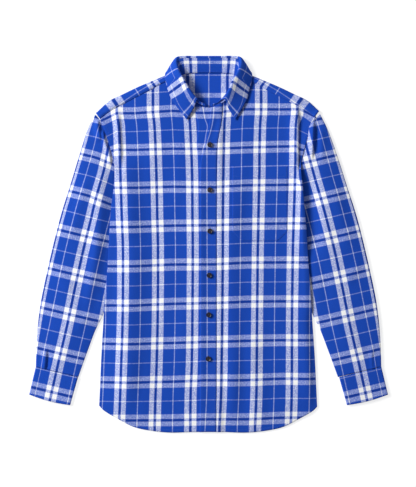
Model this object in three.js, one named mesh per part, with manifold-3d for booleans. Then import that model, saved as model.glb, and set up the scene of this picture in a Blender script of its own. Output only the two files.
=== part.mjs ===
import * as THREE from 'three';
import Module from 'manifold-3d';

// A flannel shirt that lies flat on its back, with its front up. Millimetres, +Z up.
// +Y runs from the hem to the collar, and the wearer's left is at +X.
// The origin is on the floor, under the middle of the garment.

const clothWall = 1.2;
const collarWall = 1.6;
const cuffWall = 1.8;
const seamGap = 0.3;
const sleeveGap = { '-1': 1.5, 1: 2.5 };  // between a sleeve and the curved edges beside it, by side
const leafGap = 3;                      // from the stand's top up to where the leaf begins
const yokeGap = 2.2;                      // between a front's top and the strip above it
const layer = clothWall + seamGap;        // what one flat layer adds to the height
const bodyLoft = 1.6;                     // how far the fronts rise off the back, inside the side edges
const edgeRoll = 24;                      // width of the roll from a front down to the side edge
const hemRoll = 40;
const backYokeSeam = 262;                 // Y of the seam across the back
const foldReach = 6;                      // where the yoke begins to turn up, short of the shoulder fold
const shoulderEndY = 283;                 // where the shoulder fold and the strip's seam meet the sleeve
const stripEndY = 272.5;
const bandWidth = 36.5;
const lapRamp = { start: 22, end: 36 };   // where the upper front comes down beside the lap
const tubeEdge = 2;                       // radius of a sleeve's side edges
const cuffSag = 3;
const cuffSeam = { outer: [373.9, -264.2], inner: [282.3, -287] };
const cuffEnd = { outer: [388.4, -324.6], inner: [299.5, -347.6] };
const flannelBlue = 0x2b48b4;
const buttonBrown = 0x241b1d;

// Outer edges of the body, and above the underarm its armholes, as distances from the centre line.
const bodyEdges = [
  { y: -349, right: 237, left: 235 },
  { y: -308, right: 235, left: 233 },
  { y: -238, right: 232, left: 229.5 },
  { y: -147, right: 226.3, left: 223 },
  { y: -56, right: 218.7, left: 216.3 },
  { y: 31, right: 213.3, left: 211 },
  { y: 96, right: 211, left: 207 },
  { y: 139, right: 209.5, left: 203.5 },
  { y: 161, right: 208, left: 200.5 },
  { y: 178, right: 208.2, left: 201.5 },
  { y: 198, right: 211.5, left: 205.5 },
  { y: 213, right: 215.5, left: 209 },
  { y: 239, right: 224, left: 215.5 },
  { y: 263, right: 233, left: 224 },
  { y: 273, right: 238.5, left: 231 },
  { y: 283, right: 245.5, left: 240.5 },
];

// The shirt-tail hem, by distance from the centre line.
const hemLine = [
  { x: 0, y: -405.6 },
  { x: 40, y: -406.2 },
  { x: 83, y: -407.3 },
  { x: 126, y: -403 },
  { x: 163, y: -394.5 },
  { x: 196, y: -377.5 },
  { x: 226, y: -360 },
  { x: 237, y: -349 },
];

// Top of a front: the neckline up to the neck point, then the yoke seam along the shoulder.
const frontTop = [
  { x: -20, y: 296.5 },
  { x: 6, y: 296.7 },
  { x: 20, y: 301.7 },
  { x: 32.5, y: 309.5 },
  { x: 43, y: 318.8 },
  { x: 51.5, y: 327.6 },
  { x: 57.5, y: 335.5 },
  { x: 61.5, y: 343.5 },
  { x: 64, y: 351 },
  { x: 66, y: 359 },
  { x: 70, y: 362.2 },
  { x: 85, y: 357.5 },
  { x: 106.5, y: 348 },
  { x: 125, y: 337 },
  { x: 152.5, y: 323.2 },
  { x: 180, y: 308.7 },
  { x: 211, y: 292 },
  { x: 238, y: 271.4 },
];

// The shoulder fold from the neck out to the sleeve, and the neck edge inside it.
const shoulderFold = [
  { x: 68, y: 374.6 },
  { x: 92, y: 365.8 },
  { x: 134, y: 348.4 },
  { x: 157.5, y: 338.2 },
  { x: 191, y: 322 },
  { x: 207.5, y: 314.6 },
  { x: 219, y: 307 },
  { x: 242.5, y: 284.6 },
];
const neckEdge = [
  { x: 0, y: 371.4 },
  { x: 30, y: 371 },
  { x: 50, y: 369.6 },
  { x: 62, y: 368 },
];

// Edges of the two fronts where they lap: the upper one's free edge and its band, and the lower one's.
const lapEdges = [
  { y: -408, upper: -19.5, band: 16.5, lower: 18 },
  { y: -300, upper: -19.1, band: 17.5, lower: 18 },
  { y: 100, upper: -19.1, band: 17.8, lower: 18 },
  { y: 161, upper: -18.9, band: 17.8, lower: 17 },
  { y: 183, upper: -16.9, band: 18, lower: 14.5 },
  { y: 202, upper: -11.5, band: 18.6, lower: 12 },
  { y: 222, upper: -6.1, band: 20.2, lower: 10.8 },
  { y: 239, upper: -2.8, band: 23.2, lower: 12.5 },
  { y: 259, upper: 1.1, band: 27.6, lower: 13.6 },
  { y: 274, upper: 2.6, band: 29.6, lower: 10.6 },
  { y: 300, upper: 4, band: 31.5, lower: 6.6 },
];

// Sleeve sections, from the armhole to the cuff: the outer edge, the inner edge's Y and its distance
// from the body's edge, how far the cloth puffs, and how much of the armhole's curve is left.
const sleeveSections = [
  { outerX: 244.8, outerY: 282.4, innerY: 161, apart: 1.8, puff: 0.4, bow: 1 },
  { outerX: 261, outerY: 248, innerY: 136, apart: 1.8, puff: 3, bow: 0.75 },
  { outerX: 278.4, outerY: 196, innerY: 102, apart: 1.8, puff: 5, bow: 0.3 },
  { outerX: 300, outerY: 126.4, innerY: 54, apart: 1.8, puff: 5.5, bow: 0.1 },
  { outerX: 321.8, outerY: 57, innerY: 6, apart: 1.8, puff: 5, bow: 0 },
  { outerX: 341.4, outerY: -21, innerY: -55, apart: 1.8, puff: 4.5, bow: 0 },
  { outerX: 358.7, outerY: -99.3, innerY: -116, apart: 1.8, puff: 4.5, bow: 0 },
  { outerX: 365.6, outerY: -140, innerY: -151, apart: 1.8, puff: 4.5, bow: 0 },
  { outerX: 370, outerY: -180, innerY: -188, apart: 17, puff: 4, bow: 0 },
  { outerX: 372.8, outerY: -222, innerY: -236, apart: 32, puff: 3.5, bow: 0 },
  { outerX: 373.9, outerY: -264.2, innerY: -287, apart: 48, puff: 1.6, bow: 0 },
];

// The largest folds, each a soft ridge along a straight line.
const folds = [
  { x0: -197, y0: 286, x1: -191, y1: 176, height: 3.6, width: 8 },
  { x0: 193.5, y0: 297, x1: 193.5, y1: 168, height: 4.4, width: 7 },
  { x0: -228, y0: 262, x1: -236, y1: 214, height: 3, width: 7 },
  { x0: -219, y0: 222, x1: -229, y1: 172, height: 3.4, width: 7 },
  { x0: 229, y0: 262, x1: 243, y1: 190, height: 3.6, width: 8 },
  { x0: 217, y0: 214, x1: 214, y1: 168, height: 2.4, width: 6 },
  { x0: -262, y0: 150, x1: -300, y1: 10, height: 2.4, width: 13 },
  { x0: 268, y0: 130, x1: 304, y1: -10, height: 2.2, width: 14 },
  { x0: -330, y0: -60, x1: -296, y1: -96, height: 1.8, width: 12 },
  { x0: 326, y0: -40, x1: 298, y1: -84, height: 1.6, width: 12 },
];
const pleats = [
  { x0: -341, y0: -222, x1: -351, y1: -276, height: 2, width: 5 },
  { x0: 352, y0: -222, x1: 357, y1: -276, height: 2, width: 5 },
];

// The collar, a row for each station from the centre back round to the front, for the half at +X.
// The stand has its seam and its top, and the leaf its fold, where it has turned over, and its edge.
// lean is how far the upper points of a row lie further out on the wearer's left.
const standSections = [
  { seam: [0, 371.5, 2.5], top: [0, 402.5, 7.6], lean: 0 },
  { seam: [30, 371.1, 2.5], top: [30.5, 402.5, 7.9], lean: 0 },
  { seam: [50, 369.4, 2.8], top: [53.5, 402, 9.2], lean: 0 },
  { seam: [59.5, 364.8, 4.4], top: [63.5, 399.5, 11.2], lean: 0 },
  { seam: [61.6, 360, 5.6], top: [66.4, 393.5, 13.8], lean: 0 },
  { seam: [62, 354, 6], top: [65.8, 384.5, 17.4], lean: 0 },
  { seam: [61, 346, 6], top: [62.6, 373.5, 20.4], lean: 0 },
  { seam: [57.5, 338, 6.2], top: [57.2, 363, 22], lean: 0 },
  { seam: [51.5, 330, 6.4], top: [49.7, 350, 22.8], lean: 0 },
  { seam: [43, 321.2, 6.8], top: [41.2, 335.2, 21.4], lean: 3 },
  { seam: [32.5, 311.8, 7.4], top: [31.2, 321.2, 17.4], lean: 4 },
  { seam: [20, 304, 8.6], top: [20.6, 309.2, 12.6], lean: 2 },
  { seam: [6, 299, 9.4], top: [6.6, 302.4, 11.6], lean: 0 },
];
const leafSections = [
  { fold: [0, 407, 6.2], turn: [0, 402.5, 1.4], edge: [0, 373.6, 0.8], lean: 0 },
  { fold: [30, 407, 6.4], turn: [30, 402.5, 1.4], edge: [30, 373.6, 0.8], lean: 0 },
  { fold: [54, 406.8, 8], turn: [55, 402, 1.8], edge: [50, 374, 0.8], lean: 0 },
  { fold: [66.5, 404.3, 11.8], turn: [70.5, 401.5, 3.4], edge: [64, 376.5, 0.8], lean: 0 },
  { fold: [70.4, 397.2, 16], turn: [79, 392.6, 6], edge: [77, 377, 0.8], lean: 0 },
  { fold: [69.6, 387.3, 20], turn: [85, 380.5, 10.5], edge: [91.5, 373, 3.6], lean: 0 },
  { fold: [66.2, 376, 23.6], turn: [81, 369.5, 16], edge: [94, 360.5, 8], lean: 0 },
  { fold: [60.6, 365, 25.6], turn: [76, 356.5, 18.5], edge: [91, 345, 8], lean: 0 },
  { fold: [52.8, 351.6, 26.6], turn: [68, 342.5, 18.5], edge: [86.5, 330, 7.8], lean: 0 },
  { fold: [44.2, 336.6, 25.2], turn: [58, 326.5, 17], edge: [80, 314.5, 7.6], lean: 3 },
  { fold: [34.2, 322.8, 21.8], turn: [47, 311, 14.5], edge: [69, 298, 7.4], lean: 6 },
  { fold: [23.8, 312.4, 17.6], turn: [31.5, 295, 11.6], edge: [47, 269.5, 7.4], lean: 10.5 },
];

const pocket = { left: 51.5, right: 170.5, top: 170, bottom: 7, mitre: 21 };
const buttons = [
  { x: 2.8, y: 215.4 },
  { x: 2.8, y: 117.7 },
  { x: 2.8, y: 28.8 },
  { x: 1.6, y: -66.7 },
  { x: 0.4, y: -152 },
  { x: -0.6, y: -246.8 },
];
const button = { radius: 5.75, thickness: 2.6, rim: 1.1, dish: 0.7, holeRadius: 0.85, holeOffset: 1.6 };
const buttonSides = 16;
const holeSides = 6;

// A smooth curve through a table, from the column `from` to the column `to`.
function track(rows, from, to) {
  const slopes = rows.map((row, i) => {
    const before = rows[Math.max(i - 1, 0)];
    const after = rows[Math.min(i + 1, rows.length - 1)];
    return (after[to] - before[to]) / (after[from] - before[from]);
  });
  return (value) => {
    let i = 0;
    while (i < rows.length - 2 && value > rows[i + 1][from]) {
      i += 1;
    }
    const span = rows[i + 1][from] - rows[i][from];
    const t = THREE.MathUtils.clamp((value - rows[i][from]) / span, 0, 1);
    const rise = rows[i + 1][to] - rows[i][to];
    const startBend = slopes[i] * span - rise;
    const endBend = rise - slopes[i + 1] * span;
    return rows[i][to] + rise * t + t * (1 - t) * (startBend * (1 - t) + endBend * t);
  };
}

const edgeOf = { '-1': track(bodyEdges, 'y', 'right'), 1: track(bodyEdges, 'y', 'left') };
const hemAt = track(hemLine, 'x', 'y');
const frontTopAt = track(frontTop, 'x', 'y');
const shoulderAt = track(shoulderFold, 'x', 'y');
const neckAt = track(neckEdge, 'x', 'y');
const upperEdge = track(lapEdges, 'y', 'upper');
const bandEdge = track(lapEdges, 'y', 'band');
const lowerEdge = track(lapEdges, 'y', 'lower');
const hemY = (x) => hemAt(Math.abs(x));
const { lerp, smoothstep } = THREE.MathUtils;

function ridges(list, x, y) {
  let height = 0;
  for (const ridge of list) {
    const dx = ridge.x1 - ridge.x0;
    const dy = ridge.y1 - ridge.y0;
    const length = Math.hypot(dx, dy);
    const run = ((x - ridge.x0) * dx + (y - ridge.y0) * dy) / length ** 2;
    const off = ((x - ridge.x0) * dy - (y - ridge.y0) * dx) / length;
    const fade = smoothstep(run, -0.1, 0.25) * (1 - smoothstep(run, 0.75, 1.1));
    height += ridge.height * fade * Math.exp(-((off / ridge.width) ** 2));
  }
  return height;
}

// Height of a front's lower face above the floor, where nothing else lies under it but the back.
function frontHeight(x, y) {
  const inside = edgeOf[Math.sign(x) || 1](y) - Math.abs(x);
  const armhole = smoothstep(y, 140, 185);
  const side = Math.max(smoothstep(inside, 0, edgeRoll), armhole);
  const hem = smoothstep(y - hemY(x), 0, hemRoll);
  return layer + bodyLoft * side * (0.4 + 0.6 * hem) + ridges(folds, x, y);
}

// The upper front lies on the lower front and its band where they lap.
function lapHeight(x, y) {
  return frontHeight(x, y) + 2 * layer * (1 - smoothstep(x, lapRamp.start, lapRamp.end));
}

// A closed wall of even thickness about a grid of points. A ring closes each row on itself.
// Only the cells that keep() takes are made, and every free edge gets a rim.
function wall(rows, thickness, { ring = false, keep = () => true } = {}) {
  const along = rows.length;
  const across = rows[0].length;
  const columns = ring ? across : across - 1;
  const wrap = (i) => (ring ? (i + across) % across : THREE.MathUtils.clamp(i, 0, across - 1));
  const clampRow = (j) => THREE.MathUtils.clamp(j, 0, along - 1);
  const has = (j, i) => j >= 0 && j < along - 1 && (ring || (i >= 0 && i < columns)) && keep(j, wrap(i));
  const positions = [];
  const index = [];
  const seen = new Map();

  // The two vertices, above and below the grid point, are made when a cell first uses them.
  const pair = (j, i) => {
    const key = j * across + wrap(i);
    if (!seen.has(key)) {
      const du = rows[j][wrap(i + 1)].clone().sub(rows[j][wrap(i - 1)]);
      const dv = rows[clampRow(j + 1)][wrap(i)].clone().sub(rows[clampRow(j - 1)][wrap(i)]);
      const half = du.cross(dv).normalize().multiplyScalar(thickness / 2);
      const point = rows[j][wrap(i)];
      seen.set(key, positions.length / 3);
      positions.push(...point.clone().add(half).toArray(), ...point.clone().sub(half).toArray());
    }
    return seen.get(key);
  };
  const quad = (a, b, c, d) => index.push(a, b, c, a, c, d);

  for (let j = 0; j < along - 1; j += 1) {
    for (let i = 0; i < columns; i += 1) {
      if (!has(j, i)) {
        continue;
      }
      const corners = [pair(j, i), pair(j, i + 1), pair(j + 1, i + 1), pair(j + 1, i)];
      const [a, b, c, d] = corners;
      quad(a, b, c, d);
      quad(d + 1, c + 1, b + 1, a + 1);
      const beside = [[j - 1, i], [j, i + 1], [j + 1, i], [j, i - 1]];
      beside.forEach(([nextJ, nextI], side) => {
        if (!has(nextJ, nextI)) {
          const from = corners[side];
          const to = corners[(side + 1) % 4];
          quad(to, from, from + 1, to + 1);
        }
      });
    }
  }
  return solid(positions, index);
}

// A geometry from shared vertices, with its faces turned outwards.
function solid(positions, index) {
  let volume = 0;
  const corner = (k) => new THREE.Vector3().fromArray(positions, index[k] * 3);
  for (let k = 0; k < index.length; k += 3) {
    volume += corner(k).dot(corner(k + 1).cross(corner(k + 2)));
  }
  const geometry = new THREE.BufferGeometry();
  geometry.setAttribute('position', new THREE.Float32BufferAttribute(positions, 3));
  geometry.setIndex(volume < 0 ? index.slice().reverse() : index);
  geometry.computeVertexNormals();
  return geometry;
}

// Where an edge x = side(y) meets an edge y = end(x).
function cornerOf(side, end, startY) {
  let y = startY;
  for (let pass = 0; pass < 12; pass += 1) {
    y = end(side(y));
  }
  return { x: side(y), y };
}

// A panel between two side edges x(y) and two end edges y(x). warp crowds its columns to one side.
function panel({ left, right, bottom, top, height, across, along, warp = (u) => u }) {
  const low = [cornerOf(left, bottom, bottom(0)), cornerOf(right, bottom, bottom(0))];
  const high = [cornerOf(left, top, top(0)), cornerOf(right, top, top(0))];
  const rows = [];
  for (let j = 0; j <= along; j += 1) {
    const v = j / along;
    const leftX = left(lerp(low[0].y, high[0].y, v));
    const rightX = right(lerp(low[1].y, high[1].y, v));
    const row = [];
    for (let i = 0; i <= across; i += 1) {
      const u = warp(i / across);
      const x = lerp(leftX, rightX, u);
      const y = lerp(bottom(lerp(low[0].x, low[1].x, u)), top(lerp(high[0].x, high[1].x, u)), v);
      row.push(new THREE.Vector3(x, y, height(x, y)));
    }
    rows.push(row);
  }
  return rows;
}

function back() {
  const rows = panel({
    left: (y) => -edgeOf[-1](y),
    right: (y) => edgeOf[1](y),
    bottom: hemY,
    top: () => backYokeSeam - seamGap,
    height: () => clothWall / 2,
    across: 10,
    along: 20,
  });
  return wall(rows, clothWall);
}

// One half of the yoke's stations, from the armhole to the neck: the back seam, the edge and the strip's seam.
function yokeStations(side) {
  const stations = [];
  const shoulderSteps = 12;
  const neckSteps = 5;
  const neckPoint = 75;
  const neckShift = 4;
  const reach = edgeOf[side](shoulderEndY) - sleeveGap[side];
  const armholeShift = reach - edgeOf[side](stripEndY) + sleeveGap[side];
  for (let i = 0; i <= shoulderSteps; i += 1) {
    const x = lerp(reach, neckPoint, i / shoulderSteps);
    const fold = new THREE.Vector2(side * x, shoulderAt(x));
    const stripX = x - lerp(armholeShift, neckShift, i / shoulderSteps);
    const seam = new THREE.Vector2(side * stripX, frontTopAt(stripX) + yokeGap);
    const baseX = x * (edgeOf[side](backYokeSeam) - sleeveGap[side]) / reach;
    stations.push({ base: new THREE.Vector2(side * baseX, backYokeSeam), fold, seam });
  }
  for (let i = 0; i < neckSteps; i += 1) {
    const x = lerp(60, 0, i / neckSteps);
    const base = new THREE.Vector2(side * x * 0.95, backYokeSeam);
    stations.push({ base, fold: new THREE.Vector2(side * x, neckAt(x)), seam: null });
  }
  return stations;
}

// The yoke lies under the neck and turns forward over each shoulder to the strip above the front.
function yoke() {
  const middle = { base: new THREE.Vector2(0, backYokeSeam), fold: new THREE.Vector2(0, neckAt(0)), seam: null };
  const stations = [...yokeStations(-1), middle, ...yokeStations(1).reverse()];
  const flatSteps = 4;
  const turnSteps = 4;
  const stripSteps = 2;
  const floor = clothWall / 2;
  const rows = [];
  for (let j = 0; j <= flatSteps; j += 1) {
    rows.push(stations.map(({ base, fold, seam }) => {
      const inward = seam ? seam.clone().sub(fold).setLength(foldReach) : new THREE.Vector2();
      const end = fold.clone().add(inward);
      const at = base.clone().lerp(end, j / flatSteps);
      return new THREE.Vector3(at.x, at.y, floor);
    }));
  }
  for (let j = 1; j <= turnSteps + stripSteps; j += 1) {
    rows.push(stations.map(({ fold, seam }) => {
      if (!seam) {
        return new THREE.Vector3(fold.x, fold.y, floor);
      }
      const top = frontHeight(seam.x, seam.y) + clothWall / 2;
      const turn = Math.min(j / turnSteps, 1);
      const angle = Math.PI * turn;
      const radius = (top - floor) / 2;
      const toSeam = seam.clone().sub(fold);
      const width = toSeam.length();
      const strip = Math.max(j - turnSteps, 0) / stripSteps;
      const arc = foldReach * (1 - Math.sin(angle)) * (1 - strip);
      const distance = strip > 0 ? lerp(foldReach, width, strip) : arc;
      const at = fold.clone().add(toSeam.setLength(distance + clothWall / 2));
      if (strip === 1) {
        at.copy(seam);
      }
      return new THREE.Vector3(at.x, at.y, floor + radius * (1 - Math.cos(angle)));
    }));
  }
  const keep = (j, i) => j < flatSteps || Boolean(stations[i].seam && stations[i + 1].seam);
  return wall(rows, clothWall, { keep });
}

// Spreads the columns of a front so that they lie closer at its side edge and at the lap.
const crowdEnds = (u) => u - 0.1 * Math.sin(2 * Math.PI * u);

function frontRight() {
  const rows = panel({
    left: (y) => -edgeOf[-1](y),
    right: lowerEdge,
    bottom: hemY,
    top: (x) => frontTopAt(Math.max(-x, -20)),
    height: (x, y) => frontHeight(x, y) + clothWall / 2,
    across: 20,
    along: 24,
    warp: crowdEnds,
  });
  return wall(rows, clothWall);
}

function frontLeft() {
  const rows = panel({
    left: upperEdge,
    right: (y) => edgeOf[1](y),
    bottom: hemY,
    top: frontTopAt,
    height: (x, y) => lapHeight(x, y) + clothWall / 2,
    across: 22,
    along: 24,
    warp: crowdEnds,
  });
  return wall(rows, clothWall);
}

function bandUnder() {
  const rows = panel({
    left: (y) => lowerEdge(y) - bandWidth,
    right: (y) => lowerEdge(y) - seamGap,
    bottom: (x) => hemY(x) + seamGap,
    top: (x) => frontTopAt(Math.max(-x, -20)) - seamGap,
    height: (x, y) => frontHeight(x, y) + layer + clothWall / 2,
    across: 4,
    along: 24,
  });
  return wall(rows, clothWall);
}

function bandTop() {
  const rows = panel({
    left: (y) => upperEdge(y) + seamGap,
    right: bandEdge,
    bottom: (x) => hemY(x) + seamGap,
    top: (x) => frontTopAt(x) - seamGap,
    height: (x, y) => lapHeight(x, y) + layer + clothWall / 2,
    across: 4,
    along: 24,
  });
  return wall(rows, clothWall);
}

function chestPocket() {
  const { left, right, top, bottom, mitre } = pocket;
  const corner = (x) => Math.max(0, mitre - Math.min(x - left, right - x));
  const rows = panel({
    left: () => left,
    right: () => right,
    bottom: (x) => bottom + corner(x),
    top: () => top,
    height: (x, y) => lapHeight(x, y) + layer + clothWall / 2,
    across: 12,
    along: 8,
  });
  return wall(rows, clothWall);
}

// The points around a flattened tube between its outer and its inner edge.
// plan(p) gives the place at the fraction p of the width, and height(x, y, p) what the top adds.
function tubeSection({ width, wallThickness, plan, height }) {
  const flatSteps = 6;
  const topSteps = 9;
  const arcSteps = 3;
  const floor = wallThickness / 2;
  const near = (floor + tubeEdge) / width;
  const points = [];
  const place = (p, z) => {
    const at = plan(p);
    points.push(new THREE.Vector3(at.x, at.y, floor + z));
  };
  const arc = (centre, direction) => {
    for (let k = 1; k <= arcSteps; k += 1) {
      const angle = -Math.PI / 2 + (Math.PI * k) / (arcSteps + 1);
      const turned = direction > 0 ? angle : -angle;
      const p = centre + direction * Math.cos(turned) * (tubeEdge / width);
      place(p, tubeEdge * (1 + Math.sin(turned)));
    }
  };
  for (let k = 0; k <= flatSteps; k += 1) {
    place(lerp(near, 1 - near, k / flatSteps), 0);
  }
  arc(1 - near, 1);
  for (let k = 0; k <= topSteps; k += 1) {
    const p = lerp(1 - near, near, k / topSteps);
    const at = plan(p);
    place(p, 2 * tubeEdge + height(at.x, at.y, p));
  }
  arc(near, -1);
  return points;
}

// Column readers for the sleeve table, by section number.
const sleeveRows = sleeveSections.map((row, station) => ({ ...row, station }));
const sleeveTrack = Object.fromEntries(
  Object.keys(sleeveSections[0]).map((column) => [column, track(sleeveRows, 'station', column)]),
);

function sleeve(side) {
  const rings = 22;
  const lastSection = sleeveSections.length - 1;
  const shoulder = { x: edgeOf[side](sleeveSections[0].outerY) + sleeveGap[side], y: sleeveSections[0].outerY };
  const underarmY = sleeveSections[0].innerY;
  const underarm = { x: edgeOf[side](underarmY) + sleeveGap[side], y: underarmY };
  const rows = [];
  for (let k = 0; k <= rings; k += 1) {
    const station = lastSection * (k / rings) ** 1.1;
    const at = Object.fromEntries(Object.entries(sleeveTrack).map(([name, read]) => [name, read(station)]));
    const shift = (shoulder.x - sleeveSections[0].outerX) * at.bow;
    const outer = new THREE.Vector2(at.outerX + shift, at.outerY);
    const inner = new THREE.Vector2(edgeOf[side](at.innerY) + at.apart, at.innerY);
    const plan = (p) => {
      const onArmholeY = lerp(shoulder.y, underarm.y, p);
      const curve = edgeOf[side](onArmholeY) + sleeveGap[side] - lerp(shoulder.x, underarm.x, p);
      const chord = outer.clone().lerp(inner, p);
      return new THREE.Vector2(side * (chord.x + at.bow * curve), chord.y);
    };
    const height = (x, y, p) => {
      const arch = Math.sin(Math.PI * p);
      return at.puff * arch ** 0.8 + (ridges(folds, x, y) + ridges(pleats, x, y)) * Math.min(1, 3 * arch);
    };
    rows.push(tubeSection({ width: outer.distanceTo(inner), wallThickness: clothWall, plan, height }));
  }
  return wall(rows, clothWall, { ring: true });
}

function cuff(side) {
  const rings = 4;
  const start = 0.008;                   // leaves the seam gap beside the sleeve
  const rows = [];
  for (let k = 0; k <= rings; k += 1) {
    const t = lerp(start, 1, k / rings);
    const outer = new THREE.Vector2(...cuffSeam.outer).lerp(new THREE.Vector2(...cuffEnd.outer), t);
    const inner = new THREE.Vector2(...cuffSeam.inner).lerp(new THREE.Vector2(...cuffEnd.inner), t);
    const plan = (p) => {
      const chord = outer.clone().lerp(inner, p);
      return new THREE.Vector2(side * chord.x, chord.y - cuffSag * t * Math.sin(Math.PI * p));
    };
    const height = (x, y, p) => 0.8 * Math.sin(Math.PI * p);
    rows.push(tubeSection({ width: outer.distanceTo(inner), wallThickness: cuffWall, plan, height }));
  }
  return wall(rows, cuffWall, { ring: true });
}

// A line along the whole collar through one column of a table, from the right front to the left front.
function collarLine(sections, column, leans) {
  const point = ({ [column]: [x, y, z], lean }, side) => {
    const outward = side > 0 && leans ? lean : 0;
    return new THREE.Vector3(side * (x + outward), y, z);
  };
  const right = sections.slice(1).reverse().map((section) => point(section, -1));
  const left = sections.map((section) => point(section, 1));
  return new THREE.CatmullRomCurve3([...right, ...left], false, 'catmullrom', 0.5);
}

const standLast = standSections.length - 1;
const leafLast = leafSections.length - 1;
const stationSteps = 2;
const standSeam = collarLine(standSections, 'seam', false);
const standTop = collarLine(standSections, 'top', true);

function onStand(line, station) {
  return line.getPoint((station + standLast) / (2 * standLast));
}

function collarStand() {
  const steps = 2 * standLast * stationSteps;
  const heightSteps = 3;
  const bulge = 1.5;
  const rows = [];
  for (let j = 0; j <= steps; j += 1) {
    const station = lerp(-standLast, standLast, j / steps);
    const seam = onStand(standSeam, station);
    const top = onStand(standTop, station);
    const row = [];
    for (let i = 0; i <= heightSteps; i += 1) {
      const v = i / heightSteps;
      const point = seam.clone().lerp(top, v);
      point.z += bulge * 4 * v * (1 - v) * (1 - Math.abs(station) / standLast);
      row.push(point);
    }
    rows.push(row);
  }
  return wall(rows, collarWall);
}

function collarLeaf() {
  const steps = 2 * leafLast * stationSteps;
  const widthSteps = 8;
  const lines = ['fold', 'turn', 'edge'].map((column) => collarLine(leafSections, column, true));
  const rows = [];
  for (let j = 0; j <= steps; j += 1) {
    const station = lerp(-leafLast, leafLast, j / steps);
    const top = onStand(standTop, station);
    const rise = top.clone().sub(onStand(standSeam, station)).setLength(leafGap);
    const start = top.add(rise);
    const points = lines.map((line) => line.getPoint((station + leafLast) / (2 * leafLast)));
    const section = new THREE.CatmullRomCurve3([start, ...points], false, 'centripetal');
    const row = section.getPoints(widthSteps);
    row.forEach((point) => {
      point.z = Math.max(point.z, collarWall / 2);
    });
    rows.push(row);
  }
  return wall(rows, collarWall);
}

// A sew-through button: a disc with a raised rim and four holes.
function buttonSolid(wasm) {
  const { radius, thickness, rim, dish, holeRadius, holeOffset } = button;
  const profile = [
    new THREE.Vector2(0, 0),
    new THREE.Vector2(radius - rim, 0),
    new THREE.Vector2(radius, thickness * 0.45),
    new THREE.Vector2(radius - rim * 0.35, thickness),
    new THREE.Vector2(radius - rim, thickness),
    new THREE.Vector2(radius - 2 * rim, thickness - dish),
    new THREE.Vector2(0, thickness - dish),
  ];
  const disc = toManifold(wasm, new THREE.LatheGeometry(profile, buttonSides).rotateX(Math.PI / 2));
  let body = disc;
  for (const [sx, sy] of [[1, 1], [1, -1], [-1, 1], [-1, -1]]) {
    const hole = new THREE.CylinderGeometry(holeRadius, holeRadius, 3 * thickness, holeSides);
    hole.rotateX(Math.PI / 2).translate(sx * holeOffset, sy * holeOffset, thickness / 2);
    body = body.subtract(toManifold(wasm, hole));
  }
  const mesh = body.getMesh();
  return solid(Array.from(mesh.vertProperties), Array.from(mesh.triVerts));
}

function toManifold(wasm, geometry) {
  const source = geometry.index ? geometry.toNonIndexed() : geometry;
  const position = source.getAttribute('position');
  const vertices = [];
  const triangles = [];
  const seen = new Map();
  for (let k = 0; k < position.count; k += 1) {
    const point = [position.getX(k), position.getY(k), position.getZ(k)];
    const key = point.map((value) => Math.round(value * 1e4)).join(',');
    if (!seen.has(key)) {
      seen.set(key, vertices.length / 3);
      vertices.push(...point);
    }
    triangles.push(seen.get(key));
  }
  const kept = [];
  for (let k = 0; k < triangles.length; k += 3) {
    const [a, b, c] = triangles.slice(k, k + 3);
    if (a !== b && b !== c && c !== a) {
      kept.push(a, b, c);
    }
  }
  const data = solid(vertices, kept);
  return new wasm.Manifold(new wasm.Mesh({
    numProp: 3,
    vertProperties: data.getAttribute('position').array,
    triVerts: Uint32Array.from(data.index.array),
  }));
}

const wasm = await Module();
wasm.setup();

const flannel = new THREE.MeshStandardMaterial({ color: flannelBlue, roughness: 0.95, metalness: 0 });
const horn = new THREE.MeshStandardMaterial({ color: buttonBrown, roughness: 0.35, metalness: 0 });
const shirt = new THREE.Group();

function add(name, geometry, material) {
  const mesh = new THREE.Mesh(geometry, material.clone());
  mesh.name = name;
  shirt.add(mesh);
  return mesh;
}

add('back', back(), flannel);
add('yoke', yoke(), flannel);
add('front_right', frontRight(), flannel);
add('front_left', frontLeft(), flannel);
add('band_under', bandUnder(), flannel);
add('band_top', bandTop(), flannel);
add('pocket', chestPocket(), flannel);
add('sleeve_right', sleeve(-1), flannel);
add('sleeve_left', sleeve(1), flannel);
add('cuff_right', cuff(-1), flannel);
add('cuff_left', cuff(1), flannel);
add('collar_stand', collarStand(), flannel);
add('collar_leaf', collarLeaf(), flannel);
const buttonShape = buttonSolid(wasm);
buttons.forEach(({ x, y }, i) => {
  const mesh = add(`button_${i + 1}`, buttonShape.clone(), horn);
  mesh.position.set(x, y, lapHeight(x, y) + 2 * layer + seamGap);
});

export default shirt;
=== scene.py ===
import math

import bpy
import numpy as np
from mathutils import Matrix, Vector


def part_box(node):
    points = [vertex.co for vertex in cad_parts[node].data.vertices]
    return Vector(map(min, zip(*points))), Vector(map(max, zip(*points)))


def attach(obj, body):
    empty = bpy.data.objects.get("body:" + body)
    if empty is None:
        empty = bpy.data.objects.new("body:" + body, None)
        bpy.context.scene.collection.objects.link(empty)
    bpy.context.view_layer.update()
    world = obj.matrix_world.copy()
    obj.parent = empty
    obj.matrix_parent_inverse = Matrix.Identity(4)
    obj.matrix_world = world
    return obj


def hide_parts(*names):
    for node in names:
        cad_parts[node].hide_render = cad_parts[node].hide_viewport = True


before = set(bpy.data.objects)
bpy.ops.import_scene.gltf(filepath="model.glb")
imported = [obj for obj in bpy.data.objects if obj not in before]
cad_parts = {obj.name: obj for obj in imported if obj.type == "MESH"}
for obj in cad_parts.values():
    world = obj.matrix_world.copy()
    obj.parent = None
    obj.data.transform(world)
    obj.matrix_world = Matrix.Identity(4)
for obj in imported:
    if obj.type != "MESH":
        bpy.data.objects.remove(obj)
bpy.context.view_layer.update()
print("frame loaded")

mm = 0.001
scene = bpy.context.scene


# Camera and stage.

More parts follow.
